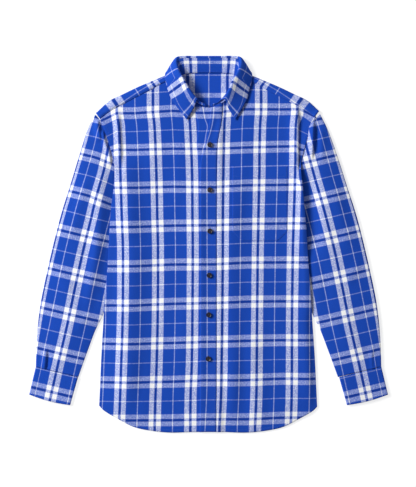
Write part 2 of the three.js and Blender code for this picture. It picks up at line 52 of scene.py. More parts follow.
studio = {
    "lens": 85,
    "cameraPlace": (-0.0013, 0.0021, 2.492),
    "floorHalf": 6,
    "floorHeight": -0.0012,
    "floorColour": (0.35, 0.35, 0.35, 1),
    "floorRoughness": 0.95,
    "floorShine": 0.1,
    "floorGlow": 0.74,
    "keyPlace": (-3.31, 1.4, 2.71),
    "keySize": 1.6,
    "keyPower": 244,
    "fillStrength": 0.27,
}

cameraData = bpy.data.cameras.new("camera")
cameraData.lens = studio["lens"]
camera = bpy.data.objects.new("camera", cameraData)
camera.location = studio["cameraPlace"]
scene.collection.objects.link(camera)
scene.camera = camera
scene.view_settings.view_transform = "Standard"


def floorPlane():
    half, z = studio["floorHalf"], studio["floorHeight"]
    corners = [(-half, -half, z), (half, -half, z), (half, half, z), (-half, half, z)]
    mesh = bpy.data.meshes.new("floor")
    mesh.from_pydata(corners, [], [(0, 1, 2, 3)])
    floor = bpy.data.objects.new("floor", mesh)
    scene.collection.objects.link(floor)
    paper = bpy.data.materials.new("paleFloor")
    paper.use_nodes = True
    shader = paper.node_tree.nodes["Principled BSDF"]
    shader.inputs["Base Color"].default_value = studio["floorColour"]
    shader.inputs["Roughness"].default_value = studio["floorRoughness"]
    shader.inputs["Specular IOR Level"].default_value = studio["floorShine"]
    shader.inputs["Emission Color"].default_value = (1, 1, 1, 1)
    shader.inputs["Emission Strength"].default_value = studio["floorGlow"]
    mesh.materials.append(paper)


def softLights():
    data = bpy.data.lights.new("keyLight", "AREA")
    data.size = studio["keySize"]
    data.energy = studio["keyPower"]
    key = bpy.data.objects.new("keyLight", data)
    key.location = studio["keyPlace"]
    key.rotation_euler = key.location.to_track_quat("Z", "Y").to_euler()
    scene.collection.objects.link(key)
    world = bpy.data.worlds.new("studio")
    world.use_nodes = True
    background = world.node_tree.nodes["Background"]
    background.inputs["Color"].default_value = (1, 1, 1, 1)
    background.inputs["Strength"].default_value = studio["fillStrength"]
    scene.world = world


floorPlane()
softLights()
print("camera, floor and lights made")


# Sizes of the garment, in millimetres.

garment = {
    "clothWall": 1.2,
    "collarWall": 1.6,
    "cuffWall": 1.8,
    "seamGap": 0.3,
    "bodyLoft": 1.6,
    "edgeRoll": 24,
    "hemRoll": 40,
    "lapStart": 22,
    "lapEnd": 36,
    "repeatAcross": 76,
    "repeatAlong": 84.6,
}
clothWall = garment["clothWall"]
collarWall = garment["collarWall"]
cuffWall = garment["cuffWall"]
seamGap = garment["seamGap"]
layer = clothWall + seamGap  # what one flat layer adds to the height

bodyEdges = {
    "y": [-349, -308, -238, -147, -56, 31, 83.7, 104.7, 131, 162.6, 183.3, 193.7, 214.5, 231, 256,
          270.5, 283],
    "right": [237, 235, 232, 226.3, 218.7, 213.6, 209.9, 206.8, 203.6, 202.5, 204.6, 207.7, 214, 219.2, 227.5,
              234.8, 245.5],
    "left": [235, 233, 229.5, 223, 216.3, 210.6, 206.2, 204.3, 201.9, 198.9, 200.6, 203.2, 208.6, 213.3, 221,
             229, 240.5],
}
hemLine = {
    "x": [0, 40, 83, 126, 163, 196, 226, 237],
    "y": [-405.6, -406.2, -407.3, -403, -394.5, -377.5, -360, -349],
}
frontTop = {
    "x": [-20, 6, 20, 32.5, 43, 51.5, 57.5, 61.5, 64, 66, 70, 85, 106.5, 125, 152.5, 180, 211, 238],
    "y": [296.5, 296.7, 301.7, 309.5, 318.8, 327.6, 335.5, 343.5, 351, 359, 362.2, 357.5, 348, 337, 323.2,
          308.7, 292, 271.4],
}
shoulderFold = {
    "x": [68, 92, 134, 157.5, 191, 207.5, 219, 242.5],
    "y": [374.6, 365.8, 348.4, 338.2, 322, 314.6, 307, 284.6],
}
neckEdge = {"x": [0, 30, 50, 62], "y": [371.4, 371, 369.6, 368]}
lapEdges = {
    "y": [-408, -300, 100, 161, 183, 202, 222, 239, 259, 274, 300],
    "upper": [-19.5, -19.1, -19.1, -18.9, -16.9, -11.5, -6.1, -2.8, 1.1, 2.6, 4],
    "band": [16.5, 17.5, 17.8, 17.8, 18, 18.6, 20.2, 23.2, 27.6, 29.6, 31.5],
    "lower": [18, 18, 18, 17, 14.5, 12, 10.8, 12.5, 13.6, 10.6, 6.6],
}


def track(at, values):
    # a smooth curve through a table, read for one number or a whole array
    at, values = np.array(at, float), np.array(values, float)
    before = np.maximum(np.arange(len(at)) - 1, 0)
    after = np.minimum(np.arange(len(at)) + 1, len(at) - 1)
    slopes = (values[after] - values[before]) / (at[after] - at[before])

    def read(x):
        x = np.asarray(x, float)
        i = np.clip(np.searchsorted(at, x) - 1, 0, len(at) - 2)
        span = at[i + 1] - at[i]
        t = np.clip((x - at[i]) / span, 0, 1)
        rise = values[i + 1] - values[i]
        startBend = slopes[i] * span - rise
        endBend = rise - slopes[i + 1] * span
        return values[i] + rise * t + t * (1 - t) * (startBend * (1 - t) + endBend * t)

    return read


def between(a, b, t):
    return a + (b - a) * t


def easeStep(x, low, high):
    t = np.clip((np.asarray(x, float) - low) / (high - low), 0, 1)
    return t * t * (3 - 2 * t)


rightEdge = track(bodyEdges["y"], bodyEdges["right"])
leftEdge = track(bodyEdges["y"], bodyEdges["left"])
hemAt = track(hemLine["x"], hemLine["y"])
frontTopAt = track(frontTop["x"], frontTop["y"])
shoulderAt = track(shoulderFold["x"], shoulderFold["y"])
neckAt = track(neckEdge["x"], neckEdge["y"])
upperEdge = track(lapEdges["y"], lapEdges["upper"])
bandEdge = track(lapEdges["y"], lapEdges["band"])
lowerEdge = track(lapEdges["y"], lapEdges["lower"])
edgeOf = {-1: rightEdge, 1: leftEdge}


def hemY(x):
    return hemAt(np.abs(x))


# Creases.
# Each is a soft ridge, or a trough where its height is negative, along a bowed line:
# x0, y0, x1, y1, height, width on its left, width on its right, bow

bodyFolds = [
    (-196, 290, -190, 172, 4.6, 9, 3.8, 0),
    (192.5, 300, 191, 150, 7, 15, 3.2, 0),
    (196, 176, 202, -30, 4.6, 20, 7.5, 0),
    (202, 0, 218, -372, 5.6, 24, 12, 0),
    (-176, 196, -176, 10, 7.2, 26, 27, 0),
    (-174, 50, -180, -384, 8.6, 28, 31, -4),
    (-17, 205, -14, -404, 1.9, 30, 8, 0),
    (48, 196, 52, -404, 5, 18, 25, 3),
    (93, -180, 99, -396, 3.4, 14, 22, 0),
    (-120, 250, -128, 90, 0.9, 10, 22, 4),
    (-60, 262, -82, 60, 0.7, 9, 16, -5),
    (-168, 120, -150, -90, 1.0, 14, 26, 7),
    (-96, 30, -110, -210, 0.9, 12, 24, -8),
    (-182, -110, -176, -330, 1.1, 13, 20, 6),
    (-52, -120, -60, -360, 0.9, 9, 18, 5),
    (-132, -250, -150, -396, 0.8, 8, 15, -4),
    (124, 262, 140, 180, 0.8, 12, 9, 3),
    (76, 240, 64, 40, 0.7, 14, 9, -4),
    (184, 110, 178, -120, 1.0, 18, 11, -6),
    (112, -20, 122, -230, 0.9, 20, 12, 7),
    (60, -150, 52, -370, 0.9, 16, 9, -4),
    (178, -170, 190, -350, 1.1, 17, 11, 6),
    (126, -270, 118, -398, 0.8, 13, 8, 4),
    (205, 165, 209, -30, 4, 13, 9, 0),
    (200, 190, 188, 152, -1.3, 6, 9, 3),
    (206, 174, 192, 142, 1.4, 5, 7, 2),
    (-206, 184, -186, 150, -1.0, 7, 8, -3),
    (26, 285, 6, 226, -1.1, 5, 9, 2),
    (148, 38, 168, 30, -0.7, 3, 5, 1),
]
sleeveFolds = [
    (-240, 270, -233, 224, 6.2, 9, 3.2, 1),
    (-229, 246, -219.5, 206, 5.6, 5, 2.4, 1),
    (-217, 216, -212, 172, 4.2, 6, 2.4, 0),
    (226, 268, 223, 186, 7, 7, 3, 0),
    (-229, 150, -258, -134, 6, 14, 14, -3),
    (243, 250, 246, 176, 2.2, 7, 9, 0),
    (-262, 150, -300, 10, 2.4, 13, 13, 0),
    (268, 130, 304, -10, 2.2, 14, 14, 0),
    (-330, -60, -296, -96, 1.8, 12, 12, 0),
    (326, -40, 298, -84, 1.6, 12, 12, 0),
    (234, 262, 232, 200, -2.8, 3, 5, 0),
    (215, 178, 230, -30, -4.5, 11, 17, 0),
    (-224, 140, -238, 10, -1.6, 9, 14, 4),
    (222, 150, 236, -10, -1.8, 14, 9, -4),
    (-243, -30, -248, -150, -1.3, 9, 12, 3),
    (244, -30, 258, -140, -1.0, 12, 9, -3),
    (-290, -130, -322, -250, 1.2, 10, 16, -6),
    (296, -120, 326, -244, 1.1, 16, 10, 5),
    (-258, -150, -284, -190, 1.0, 7, 9, 3),
    (262, -160, 300, -222, 1.0, 9, 7, -3),
    (-296, 60, -262, 28, -0.9, 9, 12, 2),
    (300, 40, 262, 4, -0.9, 12, 9, -2),
]
cuffPleats = [
    (-351, -226, -355, -274, 3.6, 8, 2.6, 0),
    (352, -222, 357, -276, 2, 5, 5, 0),
    (-346.5, -230, -350.5, -272, -1.8, 2.2, 5, 0),
    (357, -234, 357.5, -268, -2.0, 3.0, 1.6, 0),
    (-318, -244, -326, -272, 0.7, 4, 6, 1),
    (326, -244, 330, -270, 0.7, 6, 4, 1),
]


def creased(folds, x, y):
    height = np.zeros(np.broadcast(x, y).shape)
    for x0, y0, x1, y1, rise, wideLeft, wideRight, bow in folds:
        dx, dy = x1 - x0, y1 - y0
        length = math.hypot(dx, dy)
        run = ((x - x0) * dx + (y - y0) * dy) / length ** 2
        off = ((x - x0) * dy - (y - y0) * dx) / length
        off = off - bow * 4 * run * (1 - run)
        fade = easeStep(run, -0.1, 0.25) * (1 - easeStep(run, 0.75, 1.1))  # soft at both ends
        wide = np.where(off * np.sign(-dy or 1) > 0, wideLeft, wideRight)
        height = height + rise * fade * np.exp(-(off / wide) ** 2)
    return height


def settled(x, y, seed):
    # the uneven, almost flat lie of smoothed cloth, between about -1 and 1
    sway = 14 * np.sin(x / 61 + seed) + 11 * np.sin(y / 83 + 2.3 * seed)
    a = np.sin((x + sway) / 23.7 + 0.6 * np.sin(y / 96 + seed) + seed)
    b = np.sin((y + 0.45 * x - sway) / 41.3 + 1.7 * seed)
    c = np.sin((y - 0.7 * x + 1.6 * sway) / 26.1 + 0.9 * seed)
    d = np.sin((x + 0.2 * y) / 11.9 + 3 * np.sin(y / 57 + seed))
    return 0.42 * a + 0.3 * b + 0.2 * c * b + 0.14 * d


# Shapes of the pieces.

lie = {
    "bodyRipple": 1.05,
    "sleeveRipple": 1.05,
    "rippleFromSide": (4, 46),
    "rippleFromHem": (8, 60),
    "calmShare": 0.75,  # the ripple is calmer beside the buttons
    "calmWidth": 30,
    "hemLoft": 0.4,
    "armhole": (140, 185),
    "edgeLift": {-1: 3.2, 1: 5.4},
    "armholeLift": 2.6,
    "liftWidth": 15,
    "besideFrom": (-176, -120),  # heights at which the sleeves begin and end to lie against the body
    "besideTo": (276, 284),
    "overhang": 0.5,
    "tuck": 3.5,
    "tuckUntil": (250, 270),
    "backInset": 5,
    "bandSink": 0.5,
    "sinkOver": (0.3, 3),
}


def besideSleeve(y):
    return easeStep(y, *lie["besideFrom"]) * (1 - easeStep(y, *lie["besideTo"]))


def frontHeight(x, y):
    # height of a front's lower face above the floor, with only the back under it
    side = np.where(x < 0, rightEdge(y), leftEdge(y)) - np.abs(x)
    aboveHem = y - hemY(x)
    armhole = easeStep(y, *lie["armhole"])
    inside = np.maximum(easeStep(side, 0, garment["edgeRoll"]), armhole)
    hem = easeStep(aboveHem, 0, garment["hemRoll"])
    loft = garment["bodyLoft"] * inside * between(lie["hemLoft"], 1, hem)
    edgeLift = np.where(x < 0, lie["edgeLift"][-1], lie["edgeLift"][1])
    lift = between(edgeLift, lie["armholeLift"], armhole) * besideSleeve(y)
    lift = lift * np.exp(-(np.maximum(side, 0) / lie["liftWidth"]) ** 2)
    ripple = lie["bodyRipple"] * settled(x, y, 1.3) * easeStep(side, *lie["rippleFromSide"])
    ripple = ripple * easeStep(aboveHem, *lie["rippleFromHem"])
    calm = 1 - lie["calmShare"] * np.exp(-(x / lie["calmWidth"]) ** 2)
    return layer + loft + lift + ripple * calm + creased(bodyFolds, x, y)


def lapHeight(x, y):
    # the upper front lies on the lower front and its band where they lap, pressed down under its own band
    lapped = 2 * layer * (1 - easeStep(x, garment["lapStart"], garment["lapEnd"]))
    return frontHeight(x, y) + lapped - lie["bandSink"] * (1 - easeStep(x - bandEdge(y), *lie["sinkOver"]))


def cornerOf(side, end, y):
    # where a side edge meets the top or the bottom, found by stepping from one to the other
    for _ in range(12):
        y = float(end(float(side(y))))
    return float(side(y)), y


def panelRows(left, right, bottom, top, height, across, along, warp=lambda u: u):
    low = [cornerOf(left, bottom, bottom(0)), cornerOf(right, bottom, bottom(0))]
    high = [cornerOf(left, top, top(0)), cornerOf(right, top, top(0))]
    v = np.linspace(0, 1, along + 1)[:, None]
    u = warp(np.linspace(0, 1, across + 1))[None, :]
    leftX = left(between(low[0][1], high[0][1], v))
    rightX = right(between(low[1][1], high[1][1], v))
    x = between(leftX, rightX, u)
    y = between(bottom(between(low[0][0], low[1][0], u)), top(between(high[0][0], high[1][0], u)), v)
    return np.stack([x, y + 0 * x, height(x, y) + 0 * x], axis=2)


def crowdEnds(u):
    # more columns near both ends of a row
    return u - 0.1 * np.sin(2 * np.pi * u)


def facing(rows, ring=False):
    # which way the cloth faces at each point of its grid
    du = np.roll(rows, -1, 1) - np.roll(rows, 1, 1) if ring else np.gradient(rows, axis=1)
    dv = np.gradient(rows, axis=0)
    normal = np.cross(du, dv)
    return normal / np.maximum(np.linalg.norm(normal, axis=2, keepdims=True), 1e-9)


def clothShell(name, rows, thickness, check, ring=False, keep=None, turnRow=None, turnCheck=None):
    # a closed wall about a grid of points, with the check's place in repeats as its UV map
    along, across = rows.shape[:2]
    columns = across if ring else across - 1
    normal = facing(rows, ring)
    upper = (rows + normal * thickness / 2).reshape(-1, 3)
    lower = (rows - normal * thickness / 2).reshape(-1, 3)
    count = along * across

    has = np.ones((along - 1, columns), bool) if keep is None else keep
    j, i = np.nonzero(has)
    cornerRow = np.stack([j, j, j + 1, j + 1], 1)
    cornerColumn = np.stack([i, i + 1, i + 1, i], 1)
    corners = cornerRow * across + cornerColumn % across
    cornerCheck = check[cornerRow, cornerColumn]
    if turnRow is not None:
        late = j >= turnRow
        cornerCheck[late] = turnCheck[cornerRow[late], cornerColumn[late]]
    faces = [corners, corners[:, ::-1] + count]
    uvs = [cornerCheck, cornerCheck[:, ::-1]]
    smooth = [np.ones(2 * len(corners), bool)]

    for side, (stepRow, stepColumn) in enumerate([(-1, 0), (0, 1), (1, 0), (0, -1)]):
        nextRow, nextColumn = j + stepRow, i + stepColumn
        if ring:
            nextColumn = nextColumn % columns
        inside = (nextRow >= 0) & (nextRow < along - 1) & (nextColumn >= 0) & (nextColumn < columns)
        free = np.ones(len(j), bool)
        free[inside] = ~has[nextRow[inside], nextColumn[inside]]
        start, end = corners[free, side], corners[free, (side + 1) % 4]
        startCheck, endCheck = cornerCheck[free, side], cornerCheck[free, (side + 1) % 4]
        faces.append(np.stack([end, start, start + count, end + count], 1))
        uvs.append(np.stack([endCheck, startCheck, startCheck, endCheck], 1))
        smooth.append(np.zeros(free.sum(), bool))

    points = np.concatenate([upper, lower])
    faces, uvs, smooth = np.concatenate(faces), np.concatenate(uvs), np.concatenate(smooth)
    a, b, c, d = (points[faces[:, k]] for k in range(4))
    volume = np.einsum("ij,ij->", a, np.cross(b, c)) + np.einsum("ij,ij->", a, np.cross(c, d))
    if volume < 0:
        faces, uvs = faces[:, ::-1], uvs[:, ::-1]
    used, faces = np.unique(faces, return_inverse=True)
    faces = faces.reshape(-1, 4)

    mesh = bpy.data.meshes.new(name)
    mesh.from_pydata((points[used] * mm).tolist(), [], faces.tolist())
    mesh.polygons.foreach_set("use_smooth", smooth)
    layerUv = mesh.uv_layers.new(name="check")
    layerUv.uv.foreach_set("vector", np.ascontiguousarray(uvs, np.float32).ravel())
    mesh.update()
    piece = bpy.data.objects.new(name, mesh)
    scene.collection.objects.link(piece)
    return piece


# Where the check falls.

# Middle of each front's middle double stripe, and the width of a repeat, by height on the body.
stripes = {
    "y": [-396.6, -329.3, -257.7, -160, -12.5, 70, 161.1, 254.4, 287],
    "rightMiddle": [-117.4, -115.5, -112.9, -110.7, -110, -111.8, -113.8, -117.4, -121],
    "rightWidth": [77.6, 76.4, 76.4, 75.5, 75.7, 76.7, 77.7, 77.4, 78.6],
    "leftMiddle": [101, 103.7, 104.6, 105.4, 107, 108.3, 110.2, 111.8, 114.2],
    "leftWidth": [77.6, 76.8, 76.4, 75.8, 76.2, 77.2, 78.1, 77.7, 78.4],
}
# Height of each double line across the body, read at five places from side to side.
bodyLines = {
    "x": [-161.2, -78.8, 8, 81.8, 159.9],
    "y": [
        (-382.5, -382.2, -379.8, -380, -376.7),
        (-299.7, -298.4, -295, -294.8, -291.9),
        (-216.1, -214.2, -211.4, -209.4, -208.1),
        (-132.6, -129.2, -127.2, -124.4, -123.6),
        (-47.3, -43.6, -43.3, -39.5, -39),
        (37.9, 41, 41.6, 44.9, 45.8),
        (123, 125.7, 124.2, 129, 129.8),
        (205.6, 208.2, 207.6, 210.8, 213.1),
        (285.2, 290.5, 285.9, 294, 293.6),
    ],
}
sleeveLine = {
    "y": [-345, -257.7, -177.4, -92.8, -12.5, 70, 100, 161, 215, 290],
    "right": [344.5, 324.8, 305.6, 287.9, 270.3, 249.4, 241, 222.6, 208, 191],
    "left": [344.5, 325, 306, 289, 271.8, 250.6, 242.4, 225, 211, 195],
}
sleeveLines = {
    -1: [-405, -319, -236, -151, -66.5, 17.2, 98.6, 179, 262, 345],
    1: [-405, -320.6, -238.2, -154, -69.8, 14.4, 98.8, 179.6, 262, 345],
}

middleOf = {-1: track(stripes["y"], stripes["rightMiddle"]), 1: track(stripes["y"], stripes["leftMiddle"])}
widthOf = {-1: track(stripes["y"], stripes["rightWidth"]), 1: track(stripes["y"], stripes["leftWidth"])}
sleeveMiddle = {side: track(sleeveLine["y"], sleeveLine[word]) for side, word in ((-1, "right"), (1, "left"))}


def repeatsAlong(y, lines):
    # reads how many repeats lie below y, carried on past the first and last line
    lines = np.array(lines, float)
    inside = np.interp(y, lines, np.arange(len(lines)))
    below = (y - lines[0]) / (lines[1] - lines[0])
    above = len(lines) - 1 + (y - lines[-1]) / garment["repeatAlong"]
    return np.where(y < lines[0], below, np.where(y > lines[-1], above, inside))


def alongBody(x, y):
    readings = [repeatsAlong(y, [row[k] for row in bodyLines["y"]]) for k in range(5)]
    places = bodyLines["x"]
    t = np.interp(x, places, np.arange(5))
    k = np.clip(t.astype(int), 0, 3)
    stack = np.stack([reading + 0 * x for reading in readings])
    low = np.take_along_axis(stack, k[None], 0)[0]
    high = np.take_along_axis(stack, k[None] + 1, 0)[0]
    return between(low, high, t - k)


frontCheck = {
    "draw": 1.005,
    "sag": 0.5,
    "sagFrom": 200,
    "sagRise": (178, 235),
    "foldAcross": (190, 197),
    "foldFrom": (118, 160),
    "foldTo": (256, 282),
    "foldTakes": 7.5,
    "foldSag": 6.5,
}


def checkOnFront(side, rows):
    # the lines across the chest sink towards the armhole
    x, y = rows[..., 0] * frontCheck["draw"], rows[..., 1] * frontCheck["draw"]
    beyond = np.maximum(np.abs(x) - frontCheck["sagFrom"], 0)
    sunk = frontCheck["sag"] * beyond * easeStep(y, *frontCheck["sagRise"])
    if side > 0:
        # a fold beside this armhole swallows some cloth
        folded = easeStep(x, *frontCheck["foldAcross"]) * easeStep(y, *frontCheck["foldFrom"])
        folded = folded * (1 - easeStep(y, *frontCheck["foldTo"]))
        sunk = sunk + frontCheck["foldSag"] * folded
        x = x + frontCheck["foldTakes"] * folded
    return np.stack([(x - middleOf[side](y)) / widthOf[side](y), alongBody(x, y + sunk)], axis=-1)


def checkOnBand(rows, line):
    # only a thin stripe runs along a button band, and the lines across it are those of the body's middle
    x, y = rows[..., 0], rows[..., 1] * frontCheck["draw"]
    middle = bodyLines["x"][2] + 0 * x
    return np.stack([0.5 + (x - line(y)) / garment["repeatAcross"], alongBody(middle, y)], axis=-1)


sleeveCheck = {
    "slope": 0.226,
    "widthShare": 0.976,
    "curl": 14,
    "curlWidth": 26,
    "drawnY": [60, 100, 161, 215, 290],
    "drawnBy": [0.4, 1.8, 3.4, 8, 12],
    "drawnUntil": (10, 42),
    "droop": 0.134,
    "droopFrom": (40, 95),
    "droopWidth": 18,
}


def checkOnSleeve(side, x, y, outerDistance):
    x = side * x
    off = x - sleeveMiddle[side](y)
    alongY = y - sleeveCheck["slope"] * off
    if side < 0:
        # beside this armhole the cloth is drawn out and down
        drawn = np.interp(y, sleeveCheck["drawnY"], sleeveCheck["drawnBy"])
        off = off - drawn * (1 - easeStep(off, *sleeveCheck["drawnUntil"]))
        droop = sleeveCheck["droop"] * easeStep(y, *sleeveCheck["droopFrom"])
        alongY = y - sleeveCheck["slope"] * off - droop * np.minimum(off, sleeveCheck["droopWidth"])
    curl = sleeveCheck["curl"] * np.clip(1 - outerDistance / sleeveCheck["curlWidth"], 0, 1) ** 2
    u = (sleeveCheck["widthShare"] * off + curl) / garment["repeatAcross"]
    return u, repeatsAlong(alongY, sleeveLines[side])


# Flannel.

flannel = {
    "ground": (0.0095, 0.066, 0.46, 1),
    "deepGround": (0.006, 0.043, 0.33, 1),
    "lavender": (0.265, 0.338, 0.725, 1),
    "light": (0.96, 0.96, 0.97, 1),
    "warpFace": 0.595,
    "doubleHalfWidth": (0.0664, 0.0597),
    "doubleOffset": (0.1043, 0.0950),
    "thinHalfWidth": (0.0112, 0.0101),
    "thinStrength": 0.85,
    "yarn": 0.9,
    "mottle": 0.16,
    "fibreTone": (0.86, 1.14),
    "fibreRoughness": (0.98, 0.84),
    "bumpStrength": 0.5,
    "bumpDistance": 0.0002,
    "shine": 0.1,
    "sheen": 0.04,
    "sheenRoughness": 0.5,
}
# The twill's yarns, and the clouds of fibre over it: each has a size in millimetres, a stretch and a detail.
twill = {
    "yarnTurns": 12.0,
    "overTwill": 0.12,
    "overGrain": 5.0,
    "yarnHeight": 0.12,
    "twillHeight": 0.25,
    "fibreHeight": 1.6,
    "grain": (2.6, (1, 1), 3.0),
    "slubs": [(3.2, (1, 0.16), 2.0), (3.2, (0.16, 1), 2.0)],
    "fibre": (1.1, (1, 0.5), 4.0),
}


class nodeDesk:
    # short ways to place and join nodes in one tree
    def __init__(self, tree):
        self.tree = tree

    def node(self, kind, **settings):
        made = self.tree.nodes.new(kind)
        for name, value in settings.items():
            setattr(made, name, value)
        return made

    def join(self, source, target):
        self.tree.links.new(source, target)

    def feed(self, socket, value):
        if isinstance(value, (int, float, tuple)):
            socket.default_value = value
        else:
            self.join(value, socket)

    def maths(self, operation, a, b=0.0, c=None, clamp=False):
        made = self.node("ShaderNodeMath", operation=operation, use_clamp=clamp)
        self.feed(made.inputs[0], a)
        self.feed(made.inputs[1], b)
        if c is not None:
            self.feed(made.inputs[2], c)
        return made.outputs[0]

    def mixColour(self, share, a, b):
        made = self.node("ShaderNodeMix", data_type="RGBA")
        self.feed(made.inputs[0], share)
        self.feed(made.inputs[6], a)
        self.feed(made.inputs[7], b)
        return made.outputs[2]

    def mapRange(self, value, fromLow, fromHigh, toLow, toHigh):
        made = self.node("ShaderNodeMapRange")
        for k, item in enumerate((value, fromLow, fromHigh, toLow, toHigh)):
            self.feed(made.inputs[k], item)
        return made.outputs[0]


def newMaterial(name):
    material = bpy.data.materials.new(name)
    material.use_nodes = True
    return material, nodeDesk(material.node_tree), material.node_tree.nodes["Principled BSDF"]


def shaderGroup(name, inputs, outputs):
    group = bpy.data.node_groups.new(name, "ShaderNodeTree")
    for socketName, kind, value in inputs:
        socket = group.interface.new_socket(name=socketName, in_out="INPUT", socket_type=kind)
        if value is not None:
            socket.default_value = value
    for socketName, kind in outputs:
        group.interface.new_socket(name=socketName, in_out="OUTPUT", socket_type=kind)
    desk = nodeDesk(group)
    return group, desk, desk.node("NodeGroupInput"), desk.node("NodeGroupOutput")


def stripeGroup():
    # light stripes along one direction of the cloth: a double stripe at each repeat and a thin one halfway
    group, desk, given, out = shaderGroup(
        "checkStripes",
        [("Repeats", "NodeSocketFloat", 0.0), ("Double offset", "NodeSocketFloat", 0.1),
         ("Double half width", "NodeSocketFloat", 0.07), ("Thin half width", "NodeSocketFloat", 0.011),
         ("Edge", "NodeSocketFloat", 0.008)],
        [("Stripe", "NodeSocketFloat"), ("Gap", "NodeSocketFloat")],
    )
    place = given.outputs
    half = desk.maths("ADD", place["Repeats"], 0.5)
    centred = desk.maths("ABSOLUTE", desk.maths("SUBTRACT", desk.maths("FRACT", half), 0.5))
    fromDouble = desk.maths("ABSOLUTE", desk.maths("SUBTRACT", centred, place["Double offset"]))
    fromThin = desk.maths("SUBTRACT", 0.5, centred)

    def band(distance, halfWidth):
        inner = desk.maths("SUBTRACT", halfWidth, place["Edge"])
        outer = desk.maths("ADD", halfWidth, place["Edge"])
        return desk.mapRange(distance, inner, outer, 1.0, 0.0)

    double = band(fromDouble, place["Double half width"])
    thin = desk.maths("MULTIPLY", band(fromThin, place["Thin half width"]), flannel["thinStrength"])
    gapWidth = desk.maths("SUBTRACT", place["Double offset"], place["Double half width"])
    gap = desk.maths("MULTIPLY", band(centred, gapWidth), desk.maths("SUBTRACT", 1.0, double))
    desk.join(desk.maths("MAXIMUM", double, thin), out.inputs["Stripe"])
    desk.join(gap, out.inputs["Gap"])
    return group


def weaveGroup():
    # diagonal twill in millimetres of cloth, and the brushed fibres over it
    group, desk, given, out = shaderGroup(
        "brushedTwill",
        [("Vector", "NodeSocketVector", None), ("Yarn", "NodeSocketFloat", 0.9),
         ("Mottle", "NodeSocketFloat", 0.15)],
        [("Over", "NodeSocketFloat"), ("Fibre", "NodeSocketFloat"), ("Height", "NodeSocketFloat")],
    )
    place = given.outputs
    split = desk.node("ShaderNodeSeparateXYZ")
    desk.join(place["Vector"], split.inputs[0])
    slant = desk.maths("ADD", split.outputs[0], split.outputs[1])
    turns = desk.maths("DIVIDE", slant, place["Yarn"])
    diagonal = desk.maths("SINE", desk.maths("MULTIPLY", turns, 2 * math.pi))

    def yarns(across):
        turned = desk.maths("MULTIPLY", across, twill["yarnTurns"])
        return desk.maths("SINE", desk.maths("DIVIDE", turned, place["Yarn"]))

    def cloud(size, stretch, detail):
        mapping = desk.node("ShaderNodeMapping")
        mapping.inputs["Scale"].default_value = (stretch[0] / size, stretch[1] / size, 1)
        desk.join(place["Vector"], mapping.inputs["Vector"])
        noise = desk.node("ShaderNodeTexNoise", noise_dimensions="2D")
        noise.inputs["Scale"].default_value = 1.0
        noise.inputs["Detail"].default_value = detail
        desk.join(mapping.outputs[0], noise.inputs["Vector"])
        return desk.maths("SUBTRACT", noise.outputs[0], 0.5)

    grain = cloud(*twill["grain"])
    slub = desk.maths("ADD", *(cloud(*shape) for shape in twill["slubs"]))
    fibre = cloud(*twill["fibre"])
    over = desk.maths("MULTIPLY", diagonal, twill["overTwill"])
    grainShare = desk.maths("MULTIPLY", place["Mottle"], twill["overGrain"])
    over = desk.maths("ADD", over, desk.maths("MULTIPLY", grain, grainShare))
    over = desk.maths("ADD", over, desk.maths("MULTIPLY", slub, place["Mottle"]))
    desk.join(over, out.inputs["Over"])
    desk.join(fibre, out.inputs["Fibre"])
    bothYarns = desk.maths("ADD", yarns(split.outputs[0]), yarns(split.outputs[1]))
    height = desk.maths("MULTIPLY", bothYarns, twill["yarnHeight"])
    height = desk.maths("ADD", height, desk.maths("MULTIPLY", diagonal, twill["twillHeight"]))
    height = desk.maths("ADD", height, desk.maths("MULTIPLY", fibre, twill["fibreHeight"]))
    desk.join(height, out.inputs["Height"])
    return group


